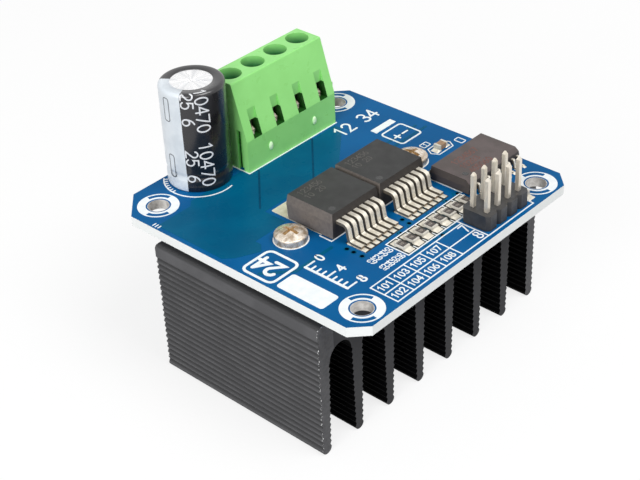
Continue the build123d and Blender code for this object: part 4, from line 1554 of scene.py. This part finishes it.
@dataclass
class Solder:
    """Tinned pads, and the solder that wets the parts on them.

    Attributes:
        lead_width: Width of a driver's lead.
        driver_reach: Half the width of a lead's patch, and its reach before and behind the toe.
        driver_crown: Swelling at a driver's lead.
        chip_sides: Reach of the solder left and right of a chip part that lies along Y.
        chip_ends: Its reach before the part's front end and behind the back one.
        lap: How far the solder runs in under a chip part.
        chip_crown: Swelling at the part's front end.
        across_sides: Reach beside a part that lies along X, and across_ends beyond its ends.
        across_crown: Swelling at that part's left end.
        logic_width: Width of a lead of the logic chip.
        logic_leads: Number of its leads on one side.
        logic_reach: The same measures as a driver's, with logic_crown on the front side.
        coarse: Stretches across and along a small patch.
        film: Thickness of the solder's film.
        rim_sink: Depth of a patch's rim in the board, and rim_rise how steeply it rises from there.
        tab_pad: Reach of a pad beyond a driver's tab.
    """

    plan: BoardPlan
    palette: Palette
    lead_width: float = 0.75
    driver_leads: int = 7
    driver_reach: Triple = (0.5, 1.0, 2.9)
    driver_crown: Crown = Crown(base=0.07, rise=0.2, middle=0.9, width=0.09)
    chip_sides: Point = (0.12, 0.28)
    chip_ends: Point = (0.95, 0.85)
    lap: float = 0.45
    chip_crown: Crown = Crown(base=0.08, rise=0.16, middle=0.68, width=0.22)
    across_sides: float = 0.12
    across_ends: float = 0.75
    across_crown: Crown = Crown(base=0.06, rise=0.22, middle=0.66, width=0.3, across=True)
    logic_width: float = 0.42
    logic_leads: int = 10
    logic_reach: Triple = (0.3, 0.45, 0.85)
    logic_crown: Crown = Crown(base=0.04, rise=0.16, middle=0.35, width=0.14)
    coarse: tuple[int, int] = (6, 8)
    film: float = 0.03
    rim_sink: float = 0.01
    rim_rise: float = 5.0
    tab_pad: Margins = (0.25, 0.4, 0.25, 2.1)
    pad_height: float = 0.05
    pad_corner: float = 0.25
    mesh: BMesh | None = None

    def mound(self, area: Margins, crown: Crown, steps: tuple[int, int] = (8, 12)) -> None:
        """Smooth patch of solder whose rim lies on the board.

        Args:
            area: Left, low, right and high side of the patch.
            crown: Height of the patch.
            steps: Number of stretches across and along.
        """
        left, low, right, high = area
        across, along = steps
        rows = []
        for j in range(along + 1):
            v = j / along
            row = []
            for i in range(across + 1):
                u = i / across
                rim = min(1.0, self.rim_rise * min(u, 1 - u, v, 1 - v) + 0.001)
                inner = 0 < i < across and 0 < j < along
                z = self.film + crown.height(u, v) * math.sqrt(rim) if inner else -self.rim_sink
                place = self.plan.at(left + (right - left) * u, low + (high - low) * v, z)
                row.append(self.mesh.verts.new(place))
            rows.append(row)
        for a, b in zip(rows, rows[1:]):
            for i in range(across):
                self.mesh.faces.new((a[i], a[i + 1], b[i + 1], b[i]))

    def driver_joints(self) -> None:
        """Solder under each driver lead, thickest at the heel."""
        half, toe, heel = self.driver_reach
        for side in SIDES:
            low, high = self.plan.box(f"{side}_driver_leads")
            pitch = (high.x - low.x - self.lead_width) / (self.driver_leads - 1)
            for lead in range(self.driver_leads):
                x = low.x + self.lead_width / 2 + lead * pitch
                self.mound((x - half, low.y - toe, x + half, low.y + heel), self.driver_crown)

    def chip_joints(self) -> None:
        """Solder at both ends of every chip part."""
        left, right = self.chip_sides
        front, back = self.chip_ends
        side, end, lap = self.across_sides, self.across_ends, self.lap
        for name in RESISTORS + CERAMICS:
            low, high = self.plan.box(name)
            if high.y - low.y > high.x - low.x:
                sides = (low.x - left, high.x + right)
                self.mound((sides[0], low.y - front, sides[1], low.y + lap), self.chip_crown)
                self.mound((sides[0], high.y - lap, sides[1], high.y + back), self.chip_crown.mirrored())
            else:
                sides = (low.y - side, high.y + side)
                self.mound((low.x - end, sides[0], low.x + lap, sides[1]), self.across_crown)
                self.mound((high.x - lap, sides[0], high.x + end, sides[1]), self.across_crown.mirrored())

    def logic_joints(self) -> None:
        """Solder at the toe of each lead of the logic chip."""
        half, toe, lap = self.logic_reach
        low, high = self.plan.box("logic_chip_leads")
        pitch = (high.x - low.x - self.logic_width) / (self.logic_leads - 1)
        for lead in range(self.logic_leads):
            x = low.x + self.logic_width / 2 + lead * pitch
            self.mound((x - half, low.y - toe, x + half, low.y + lap), self.logic_crown, self.coarse)
            self.mound((x - half, high.y - lap, x + half, high.y + toe), self.logic_crown.mirrored(),
                       self.coarse)

    def build(self) -> None:
        """Make the pads under the driver tabs and the solder, as two pieces."""
        tin = Print(self.plan.at, thickness=self.pad_height)
        for side in SIDES:
            pad = grown(*self.plan.box(f"{side}_driver_tab"), self.tab_pad)
            tin.fill(rounded_box(*pad, self.pad_corner))
        new_piece("driver_tab_pads", tin.mesh, [self.palette.get(Finishes.TIN)])
        self.mesh = bmesh.new()
        self.driver_joints()
        self.chip_joints()
        self.logic_joints()
        new_piece("reflowed_solder", self.mesh, [self.palette.get(Finishes.SOLDER)], smooth=True)


@dataclass
class DrilledHoles:
    """Plated walls of the fixing holes, and the small vias.

    Attributes:
        legend: Legend that knows the fixing holes.
        wall: Outer and inner radius of a hole's plated wall, which is wall_depth deep.
        spots: Places of the vias.
        via_rim: Outer and inner radius of a via's raised rim, and via_hole of the near-black disc that paints
            the shade in its hole.
    """

    plan: BoardPlan
    palette: Palette
    legend: Legend
    wall: Point = (1.69, 1.62)
    wall_depth: float = 1.6
    spots: tuple[Point, ...] = (
        (-11.05, -10.4), (-11.05, -11.7), (-11.05, -13.3), (-3.2, -13.75), (-0.2, -11.8), (-0.3, -13.2),
        (7.7, -13.7), (10.6, -13.8), (0.36, -18.95),
    )
    via_rim: Point = (0.48, 0.33)
    via_rim_height: float = 0.035
    via_hole: Point = (0.34, 0.01)
    via_hole_height: float = 0.012

    def barrels(self) -> None:
        """Thin plated tube in each fixing hole."""
        tube = Print(self.plan.at, thickness=0.0, sink=self.wall_depth)
        for x, y in self.legend.fixing_holes():
            tube.ring(x, y, *self.wall)
        new_piece("hole_plating", tube.mesh, [self.palette.get(Finishes.BARREL)])

    def vias(self) -> None:
        """Near-black disc of painted shade in the drill hole, with a raised rim, for each via."""
        rims = Print(self.plan.at, thickness=self.via_rim_height)
        holes = Print(self.plan.at, thickness=self.via_hole_height)
        for x, y in self.spots:
            rims.ring(x, y, *self.via_rim)
            # Painted shade: a near-black disc stands for the dark inside of each via
            holes.ring(x, y, *self.via_hole)
        new_piece("via_rims", rims.mesh, [self.palette.get(Finishes.MASK_COPPER)])
        new_piece("via_hole_shade", holes.mesh, [self.palette.get(Finishes.VIA)])

    def build(self) -> None:
        """Make the plated holes and the vias."""
        self.barrels()
        self.vias()


@dataclass
class Board:
    """Circuit board with its copper, legend, holes and solder."""

    plan: BoardPlan
    palette: Palette

    def dress(self) -> None:
        """Finish the laminate and the solder joints under it."""
        self.palette.dress(["circuit_board"], Finishes.MASK)
        self.palette.dress(["solder_joints"], Finishes.SOLDER)

    def build(self) -> None:
        """Make what is printed, plated and soldered on the board."""
        legend = Legend(self.plan, self.palette)
        Copper(self.plan, self.palette).build()
        legend.build()
        Solder(self.plan, self.palette).build()
        DrilledHoles(self.plan, self.palette, legend).build()


@dataclass
class HeatSink:
    """Extrusion, thermal sheet and the two screws."""

    palette: Palette

    def dress(self) -> None:
        """Finish the heat sink and what clamps it."""
        low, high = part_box("heat_sink")
        drawn = replace(Finishes.EXTRUSION.value, half_width=high.x / MM, ends=(low.y / MM, high.y / MM))
        self.palette.dress(["heat_sink"], drawn)
        self.palette.dress(["thermal_pad"], Finishes.PAD)
        centres = [centre_of(name) for name in SINK_SCREWS]
        headed = replace(
            Finishes.SCREW.value,
            axes=tuple(x for x, _ in centres),
            axis_y=centres[0][1],
            crown=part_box(SINK_SCREWS[0])[1].z / MM,
        )
        self.palette.dress(SINK_SCREWS, headed)


@dataclass
class TerminalBlock:
    """Two green housings with their clamp screws, cages and contacts.

    Attributes:
        poles: Number of poles.
        chamber_front: From the housing's front to its chambers.
        front_wall: From the chambers to the housing's other side.
        ledge_drop: From the housing's top down to the chambers.
        step_height: Height of the step on the housing's front.
        window_height: Height of the windows over the step.
        nub_height: How far the nubs stand out of the front.
        tongue_thickness: Thickness of a contact's tongue.
        tongue_bends: Left side, right side and bends of each tongue, from the pole's middle and the step.
    """

    palette: Palette
    poles: int = 4
    chamber_front: float = 2.4
    front_wall: float = 0.6
    ledge_drop: float = 4.6
    step_height: float = 5.5
    window_height: float = 2.6
    nub_height: float = 0.3
    tongue_thickness: float = 0.2
    tongue_bends: tuple[tuple[float, float, Path], ...] = (
        (-0.73, -0.25, ((2.2, -0.1), (1.9, 0.05), (0.95, 0.35), (0.9, 0.65), (1.5, 0.85), (2.6, 0.95))),
        (-0.12, 0.4, ((2.2, -0.1), (2.0, 0.1), (1.5, 0.35), (1.45, 0.85), (1.9, 1.15), (2.5, 1.3))),
    )

    def pole_centres(self) -> list[Point]:
        """Middle of each clamp screw in the row frame, seen from above."""
        return [centre_of(f"terminal_screw_{pole}") for pole in range(1, self.poles + 1)]

    def housing_finish(self) -> Finish:
        """Green plastic with painted shade inside the shafts, slots and chambers of these very poles, and a
        painted highlight on the nubs.
        """
        centres = self.pole_centres()
        low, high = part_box("terminal_housing_left")
        step = low.z / MM + self.step_height
        return replace(
            Finishes.HOUSING.value,
            poles=tuple(x for x, _ in centres),
            shaft_y=centres[0][1],
            chamber_y=(low.y / MM + self.chamber_front, high.y / MM - self.front_wall),
            nub_y=low.y / MM + self.nub_height,
            step=step,
            window_top=step + self.window_height,
            chamber_top=high.z / MM - self.ledge_drop,
            rim=high.z / MM,
        )

    @staticmethod
    def bent_strip(mesh: BMesh, sides: Point, profile: Path, thick: float) -> None:
        """Add a strip bent along Y and Z.

        Args:
            mesh: Mesh that gets the strip, in metres.
            sides: Its two sides along X, in millimetres.
            profile: Places along Y and Z of its front, from foot to tip, in millimetres.
            thick: Thickness in millimetres.
        """
        rows = []
        for y, z in profile:
            corners = ((sides[0], y), (sides[1], y), (sides[1], y + thick), (sides[0], y + thick))
            rows.append([mesh.verts.new(Vector((x, back, z)) * MM) for x, back in corners])
        for a, b in zip(rows, rows[1:]):
            for i in range(4):
                j = (i + 1) % 4
                mesh.faces.new((a[i], a[j], b[j], b[i]))
        mesh.faces.new(rows[0])
        mesh.faces.new(rows[-1][::-1])

    def tongues(self) -> None:
        """Make the two spring tongues of each contact that show in the lower half of its slot."""
        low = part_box("terminal_housing_left")[0] / MM
        foot = low.z + self.step_height
        mesh = bmesh.new()
        for middle, _ in self.pole_centres():
            for left, right, bend in self.tongue_bends:
                profile = [(low.y + y, foot + z) for y, z in bend]
                self.bent_strip(mesh, (middle + left, middle + right), profile, self.tongue_thickness)
        new_piece("contact_tongues", mesh, [self.palette.get(Finishes.BRASS)])

    def dress(self) -> None:
        """Finish the housings and the metal in them."""
        self.palette.dress(["terminal_housing_left", "terminal_housing_right"], self.housing_finish())
        for pole in range(1, self.poles + 1):
            self.palette.dress([f"terminal_screw_{pole}"], Finishes.CLAMP_SCREW)
            self.palette.dress([f"terminal_cage_{pole}", f"terminal_contact_{pole}"], Finishes.BRASS)


@dataclass
class Capacitor:
    """Electrolytic capacitor: its sleeve is remade smooth, with a stripe and plain print.

    Attributes:
        stripe_start: Azimuth where the pale stripe starts; it stops at stripe_end.
        segments: Number of faces round the sleeve.
        window: Radius of the sleeve's open top, and bend that of its shoulder.
        print_room: Height that is left for the print on its top.
        foot: Inset from the radius, and height, of the points of its foot.
        groove: Middle height, half width and depth of the groove round it.
        lip: Points of the open top's rim, from the window and the top.
        ink_step: Longest straight stretch of the print.
    """

    plan: BoardPlan
    palette: Palette
    stripe_start: float = 125.0
    stripe_end: float = 205.0
    segments: int = 144
    window: float = 3.28
    bend: float = 0.62
    print_room: float = 0.03
    foot: Path = ((0.35, 0.0), (0.08, 0.06), (0.0, 0.3))
    groove: Triple = (2.6, 0.9, 0.2)
    lip: Path = ((0.06, 0.0), (0.0, 0.05), (0.0, 0.12))
    ink_height: float = 0.02
    ink_step: float = 0.3
    centre: Point = (0.0, 0.0)
    radius: float = 0.0
    top: float = 0.0

    def __post_init__(self) -> None:
        """Read the sleeve's place and size, and leave room for the print on its top."""
        low, high = self.plan.box("capacitor_sleeve")
        self.radius = (high.x - low.x) / 2
        self.centre = self.plan.middle_of("capacitor_sleeve")
        self.top = high.z - self.print_room

    def profile(self) -> list[Point]:
        """Radius and height of the sleeve's outside, from its foot to the edge of its window."""
        bead, half, depth = self.groove
        steps = 12
        foot = [(self.radius - inset, z) for inset, z in self.foot] + [(self.radius, bead - half)]
        shares = [i / steps for i in range(1, steps + 1)]
        groove = [(self.radius - depth * math.sin(math.pi * share) ** 2, bead - half + 2 * half * share)
                  for share in shares]
        bend = self.bend
        shoulder = arc(self.radius - bend, self.top - bend, bend, 0, 90, 10)
        rim = [(self.window + out, self.top - down) for out, down in self.lip]
        return foot + groove + shoulder + rim

    def on_sleeve(self, along: float, around: float, height: float) -> Vector:
        """Point in metres of a place on the sleeve.

        Args:
            along: Distance down from the top; less than the bend lies on the shoulder.
            around: Distance round from azimuth 180, with the print's capitals pointing that way.
            height: Height above the sleeve.

        Returns:
            The point.
        """
        angle = math.pi + around / self.radius
        climb = max(0.0, self.bend - along)
        tilt = min(climb / self.bend, math.pi / 2)
        inward = max(0.0, climb - self.bend * math.pi / 2)
        reach = self.radius - self.bend + (self.bend + height) * math.cos(tilt) - inward
        level = self.top - self.bend + (self.bend + height) * math.sin(tilt) - max(0.0, along - self.bend)
        x, y = self.centre
        return self.plan.at(x + reach * math.cos(angle), y + reach * math.sin(angle), level)

    def build_sleeve(self) -> None:
        """Make the smooth sleeve with its stripe, in place of the CAD sleeve."""
        mesh = bmesh.new()
        turn = 360 / self.segments
        rings = []
        for radius, z in self.profile():
            ring = arc(*self.centre, radius, 0, 360 - turn, self.segments - 1)
            rings.append([mesh.verts.new(self.plan.at(x, y, z)) for x, y in ring])
        for lower, upper in zip(rings, rings[1:]):
            for i in range(self.segments):
                j = (i + 1) % self.segments
                face = mesh.faces.new((lower[i], lower[j], upper[j], upper[i]))
                middle = (i + 0.5) * turn
                face.material_index = int(self.stripe_start < middle < self.stripe_end)
        sleeve = new_piece("printed_sleeve", mesh,
                           [self.palette.get(Finishes.SLEEVE), self.palette.get(Finishes.STRIPE)],
                           smooth=True)
        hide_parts("capacitor_sleeve")

    def arc_length(self, azimuth: float) -> float:
        """Distance round the sleeve from azimuth 180 to another azimuth."""
        return math.radians(azimuth - 180) * self.radius

    def build_print(self) -> None:
        """Make the plain digits beside the stripe and the long bars on it."""
        white = Print(self.on_sleeve, thickness=self.ink_height)
        for start in (-0.3, 9.6):
            white.text("25 6", start, self.arc_length(207.0), height=1.85, width=0.24, step=self.ink_step)
        for start in (-1.0, 8.4):
            white.text("10470", start, self.arc_length(231.5), height=2.0, width=0.24, step=self.ink_step)
        new_piece("sleeve_digits", white.mesh, [self.palette.get(Finishes.SLEEVE_INK)])
        dark = Print(self.on_sleeve, thickness=self.ink_height)
        middle = self.arc_length(176.0)
        length, half = 3.9, 0.55
        for start in (1.1, 10.9):
            outline = rounded_box(start, middle - half, start + length, middle + half, radius=0.35)
            dark.stroke(resample(outline + outline[:1], self.ink_step)[:-1], width=0.14, closed=True)
        new_piece("stripe_bars", dark.mesh, [self.palette.get(Finishes.DARK_INK)])

    def dress(self) -> None:
        """Finish the can, the rubber and the leads."""
        reflection_streaked = replace(Finishes.CAN.value, centre=centre_of("capacitor_can"))
        self.palette.dress(["capacitor_can"], reflection_streaked)
        self.palette.dress(["capacitor_bung"], Finishes.RUBBER)
        self.palette.dress(["capacitor_lead_negative", "capacitor_lead_positive"], Finishes.LEAD)


@dataclass
class Chips:
    """Two power drivers, the logic chip and the chip parts.

    Attributes:
        toe_height: Height over the board under which a lead's end is its cut toe.
        dimples: Body, place from its lowest corner and radius of each dimple.
        mark_rise: Height of a mark or dimple over the body.
        mark_sink: Depth of its foot in the body.
    """

    plan: BoardPlan
    palette: Palette
    toe_height: float = 0.75
    dimples: tuple[tuple[str, float, float, float], ...] = (
        ("left_driver_body", 1.4, 1.3, 0.55),
        ("right_driver_body", 1.4, 1.3, 0.55),
        ("logic_chip_body", 1.5, 1.9, 0.5),
    )
    mark_rise: float = 0.004
    mark_sink: float = 0.02

    def dress(self) -> None:
        """Finish every chip, its leads and its tab."""
        lead = replace(Finishes.LEAD.value, toe_top=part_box("circuit_board")[1].z / MM + self.toe_height)
        for side in SIDES:
            self.palette.dress([f"{side}_driver_body"], Finishes.EPOXY)
            self.palette.dress([f"{side}_driver_tab"], Finishes.TIN)
            self.palette.dress([f"{side}_driver_leads"], lead)
        self.palette.dress(["logic_chip_body"], Finishes.EPOXY_WARM)
        self.palette.dress(["logic_chip_leads"], Finishes.LEAD)
        self.dress_chip_parts()

    def dress_chip_parts(self) -> None:
        """Give resistors and chip capacitors a body and two tinned ends."""
        resistor = ChipFinish("Thick-film resistor with tinned ends", "#544d48", "#463f3b", 0.5, 0.1, 0.006,
                              0.35, middle=centre_of(RESISTORS[0])[1], half_body=0.72, flank="#e9e4da")
        self.palette.dress(RESISTORS, resistor)
        for name, along in zip(CERAMICS, (Along.X, Along.Y)):
            part = ChipFinish(f"Fired tan ceramic with tinned ends {along.name}", "#a98867", "#96765a", 0.5,
                              0.1, 0.006, 0.4, along=along, middle=centre_of(name)[along.value])
            self.palette.dress([name], part)

    def build(self) -> None:
        """Make the dimples of the mouldings, the marks on the bodies and those of the resistors."""
        dimples = Print(self.plan.at, thickness=0.0)
        for name, dx, dy, radius in self.dimples:
            low, high = self.plan.box(name)
            dimples.thickness, dimples.sink = high.z + self.mark_rise, self.mark_sink - high.z
            dimples.ring(low.x + dx, low.y + dy, radius, 0.01)
        new_piece("mould_dimples", dimples.mesh, [self.palette.get(Finishes.DIMPLE)])
        self.body_marks("driver_marks", [f"{side}_driver_body" for side in SIDES], Finishes.LASER,
                        ((1.2, 7.2, "123456"), (1.2, 5.7, "10 20")), height=1.05, width=0.15)
        self.body_marks("logic_marks", ["logic_chip_body"], Finishes.LASER_WARM,
                        ((2.6, 4.6, "1234567"), (2.6, 2.9, "10203"), (2.6, 1.2, "405060")),
                        height=1.1, width=0.17)
        self.resistor_marks()

    def body_marks(self, piece: str, nodes: Sequence[str], finish: Finishes,
                   lines: Sequence[tuple[float, float, str]], height: float, width: float) -> None:
        """Mark the top of chips with plain numbers.

        Args:
            piece: Name of the new piece.
            nodes: CAD nodes of the bodies.
            finish: Finish of the marks.
            lines: Left edge, foot and digits of each line, from the body's lowest corner.
            height: Height of the digits.
            width: Width of the strokes.
        """
        marks = Print(self.plan.at)
        for node in nodes:
            low, high = self.plan.box(node)
            marks.thickness, marks.sink = high.z + self.mark_rise, self.mark_sink - high.z
            for x, y, words in lines:
                marks.text(words, low.x + x, low.y + y, height, width)
        new_piece(piece, marks.mesh, [self.palette.get(finish)])

    def resistor_marks(self) -> None:
        """Two small plain digits on each resistor."""
        body_top = self.plan.box(RESISTORS[0])[1].z - 0.05
        marks = Print(lambda x, y, z: self.plan.at(x, y, body_top + z), thickness=0.015)
        for name in RESISTORS:
            x, y = self.plan.middle_of(name)
            marks.text("10", x - 0.36, y - 0.22, height=0.44, width=0.07)
        new_piece("resistor_marks", marks.mesh, [self.palette.get(Finishes.CHIP_INK)])


@dataclass
class PinHeader:
    """Header base and its pins."""

    palette: Palette
    pins: int = 8

    def dress(self) -> None:
        """Finish the base and the pins."""
        self.palette.dress(["header_base"], Finishes.HEADER)
        self.palette.dress([f"header_pin_{k}" for k in range(1, self.pins + 1)], Finishes.PIN)


# Studio


@dataclass(frozen=True)
class Lamp:
    """One soft area lamp.

    Attributes:
        name: Name of the lamp.
        place: Where it hangs, in metres.
        size: Side of its square, in metres.
        level: Light that it gives a white card that faces it, where one is a full white.
    """

    name: str
    place: Triple
    size: float
    level: float

    def build(self, target: Vector) -> None:
        """Hang the lamp and point it at the module.

        Args:
            target: Point that the lamp looks at.
        """
        data = bpy.data.lights.new(self.name, "AREA")
        data.size = self.size
        arm = target - Vector(self.place)
        data.energy = self.level * math.pi**2 * arm.length_squared
        lamp = bpy.data.objects.new(self.name, data)
        lamp.location = self.place
        lamp.rotation_euler = arm.to_track_quat("-Z", "Y").to_euler()
        bpy.context.scene.collection.objects.link(lamp)


@dataclass
class Studio:
    """White floor, soft light and the camera of the photograph.

    Attributes:
        camera_place: Place of the camera in millimetres.
        camera_right: Direction to the right of the picture.
        camera_ahead: Direction in which the camera looks.
        lens: Focal length.
        sensor: Width of the picture behind the lens.
        clip: Nearest and farthest distance that the camera sees, in metres.
        floor_half: Half the floor's width, in metres.
        white_share: Share of plain white in the floor as it's seen.
        ambient: Strength of the even light, beside the white that is seen.
        lamps: The soft lamps.
    """

    palette: Palette
    camera_place: Triple = (-138.59, -127.435, 145.65)
    camera_right: Triple = (0.6701, -0.7412, -0.0399)
    camera_ahead: Triple = (0.5965, 0.5698, -0.5652)
    lens: float = 82.04
    sensor: float = 36.0
    clip: Point = (0.005, 20.0)
    floor_half: float = 1.6
    white_share: float = 0.8
    ambient: float = 0.3
    lamps: tuple[Lamp, ...] = (
        Lamp("left_softbox", place=(-0.74, -0.16, 0.42), size=0.45, level=0.62),
        Lamp("front_softbox", place=(0.12, -0.42, 0.8), size=0.5, level=0.6),
    )

    def build_camera(self) -> None:
        """Stand the camera where the photograph was taken."""
        data = bpy.data.cameras.new("photo_camera")
        data.sensor_width = self.sensor
        data.lens = self.lens
        data.clip_start, data.clip_end = self.clip
        camera = bpy.data.objects.new("photo_camera", data)
        right = Vector(self.camera_right).normalized()
        back = -Vector(self.camera_ahead).normalized()
        turn = Matrix((right, back.cross(right), back)).transposed()
        camera.matrix_world = Matrix.Translation(Vector(self.camera_place) * MM) @ turn.to_4x4()
        bpy.context.scene.collection.objects.link(camera)
        bpy.context.scene.camera = camera

    @staticmethod
    def seen_directly(tree: Tree) -> Socket:
        """One for rays from the camera, or off gloss or through glass, and zero for light."""
        path = add_node(tree, "ShaderNodeLightPath")
        first = math_node(tree, "MAXIMUM", path.outputs["Is Camera Ray"], path.outputs["Is Glossy Ray"])
        return math_node(tree, "MAXIMUM", first, path.outputs["Is Transmission Ray"])

    def build_floor(self) -> None:
        """Lay the floor, white to the eye with a faint shadow."""
        mesh = bmesh.new()
        bmesh.ops.create_grid(mesh, x_segments=8, y_segments=8, size=self.floor_half)
        data = bpy.data.meshes.new("studio_floor")
        mesh.to_mesh(data)
        mesh.free()
        material = self.palette.get(Finishes.PAPER)
        tree = material.node_tree
        seen = self.seen_directly(tree)
        shader = tree.nodes["Principled BSDF"]
        paper_grey = shader.inputs["Base Color"].links[0].from_socket
        tree.links.new(blend_colours(tree, seen, paper_grey, "#ffffff"), shader.inputs["Base Color"])
        share = math_node(tree, "MULTIPLY", seen, self.white_share)
        glow = add_node(tree, "ShaderNodeEmission", {"Strength": 1.0})
        both = add_node(tree, "ShaderNodeMixShader", {0: share, 1: shader.outputs[0], 2: glow.outputs[0]})
        tree.links.new(both.outputs[0], tree.nodes["Material Output"].inputs[0])
        data.materials.append(material)
        floor = bpy.data.objects.new("studio_floor", data)
        bpy.context.scene.collection.objects.link(floor)
        floor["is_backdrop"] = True

    def build_world(self) -> None:
        """Surround the module with even white light."""
        world = bpy.data.worlds.new("studio_world")
        world.use_nodes = True
        tree = world.node_tree
        level = spread(tree, self.seen_directly(tree), 0.0, 1.0, self.ambient, 1.0)
        background = tree.nodes["Background"]
        background.inputs["Color"].default_value = (1.0, 1.0, 1.0, 1.0)
        tree.links.new(level, background.inputs["Strength"])
        bpy.context.scene.world = world

    def build(self) -> None:
        """Set up the whole studio."""
        self.build_camera()
        self.build_floor()
        self.build_world()
        low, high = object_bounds()
        target = (Vector(low) + Vector(high)) / 2
        for lamp in self.lamps:
            lamp.build(target)
        bpy.context.scene.view_settings.view_transform = "Standard"


def main() -> None:
    """Build the studio and dress the module, piece by piece."""
    logging.basicConfig(level=logging.INFO, format="%(name)s: %(message)s")
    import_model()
    palette = Palette()
    plan = BoardPlan()
    log.info("studio")
    Studio(palette).build()
    log.info("board")
    board = Board(plan, palette)
    board.dress()
    board.build()
    log.info("heat sink and terminal block")
    HeatSink(palette).dress()
    block = TerminalBlock(palette)
    block.dress()
    block.tongues()
    log.info("capacitor")
    capacitor = Capacitor(plan, palette)
    capacitor.dress()
    capacitor.build_sleeve()
    capacitor.build_print()
    log.info("chips and header")
    chips = Chips(plan, palette)
    chips.dress()
    chips.build()
    PinHeader(palette).dress()


if __name__ == "__main__":
    main()
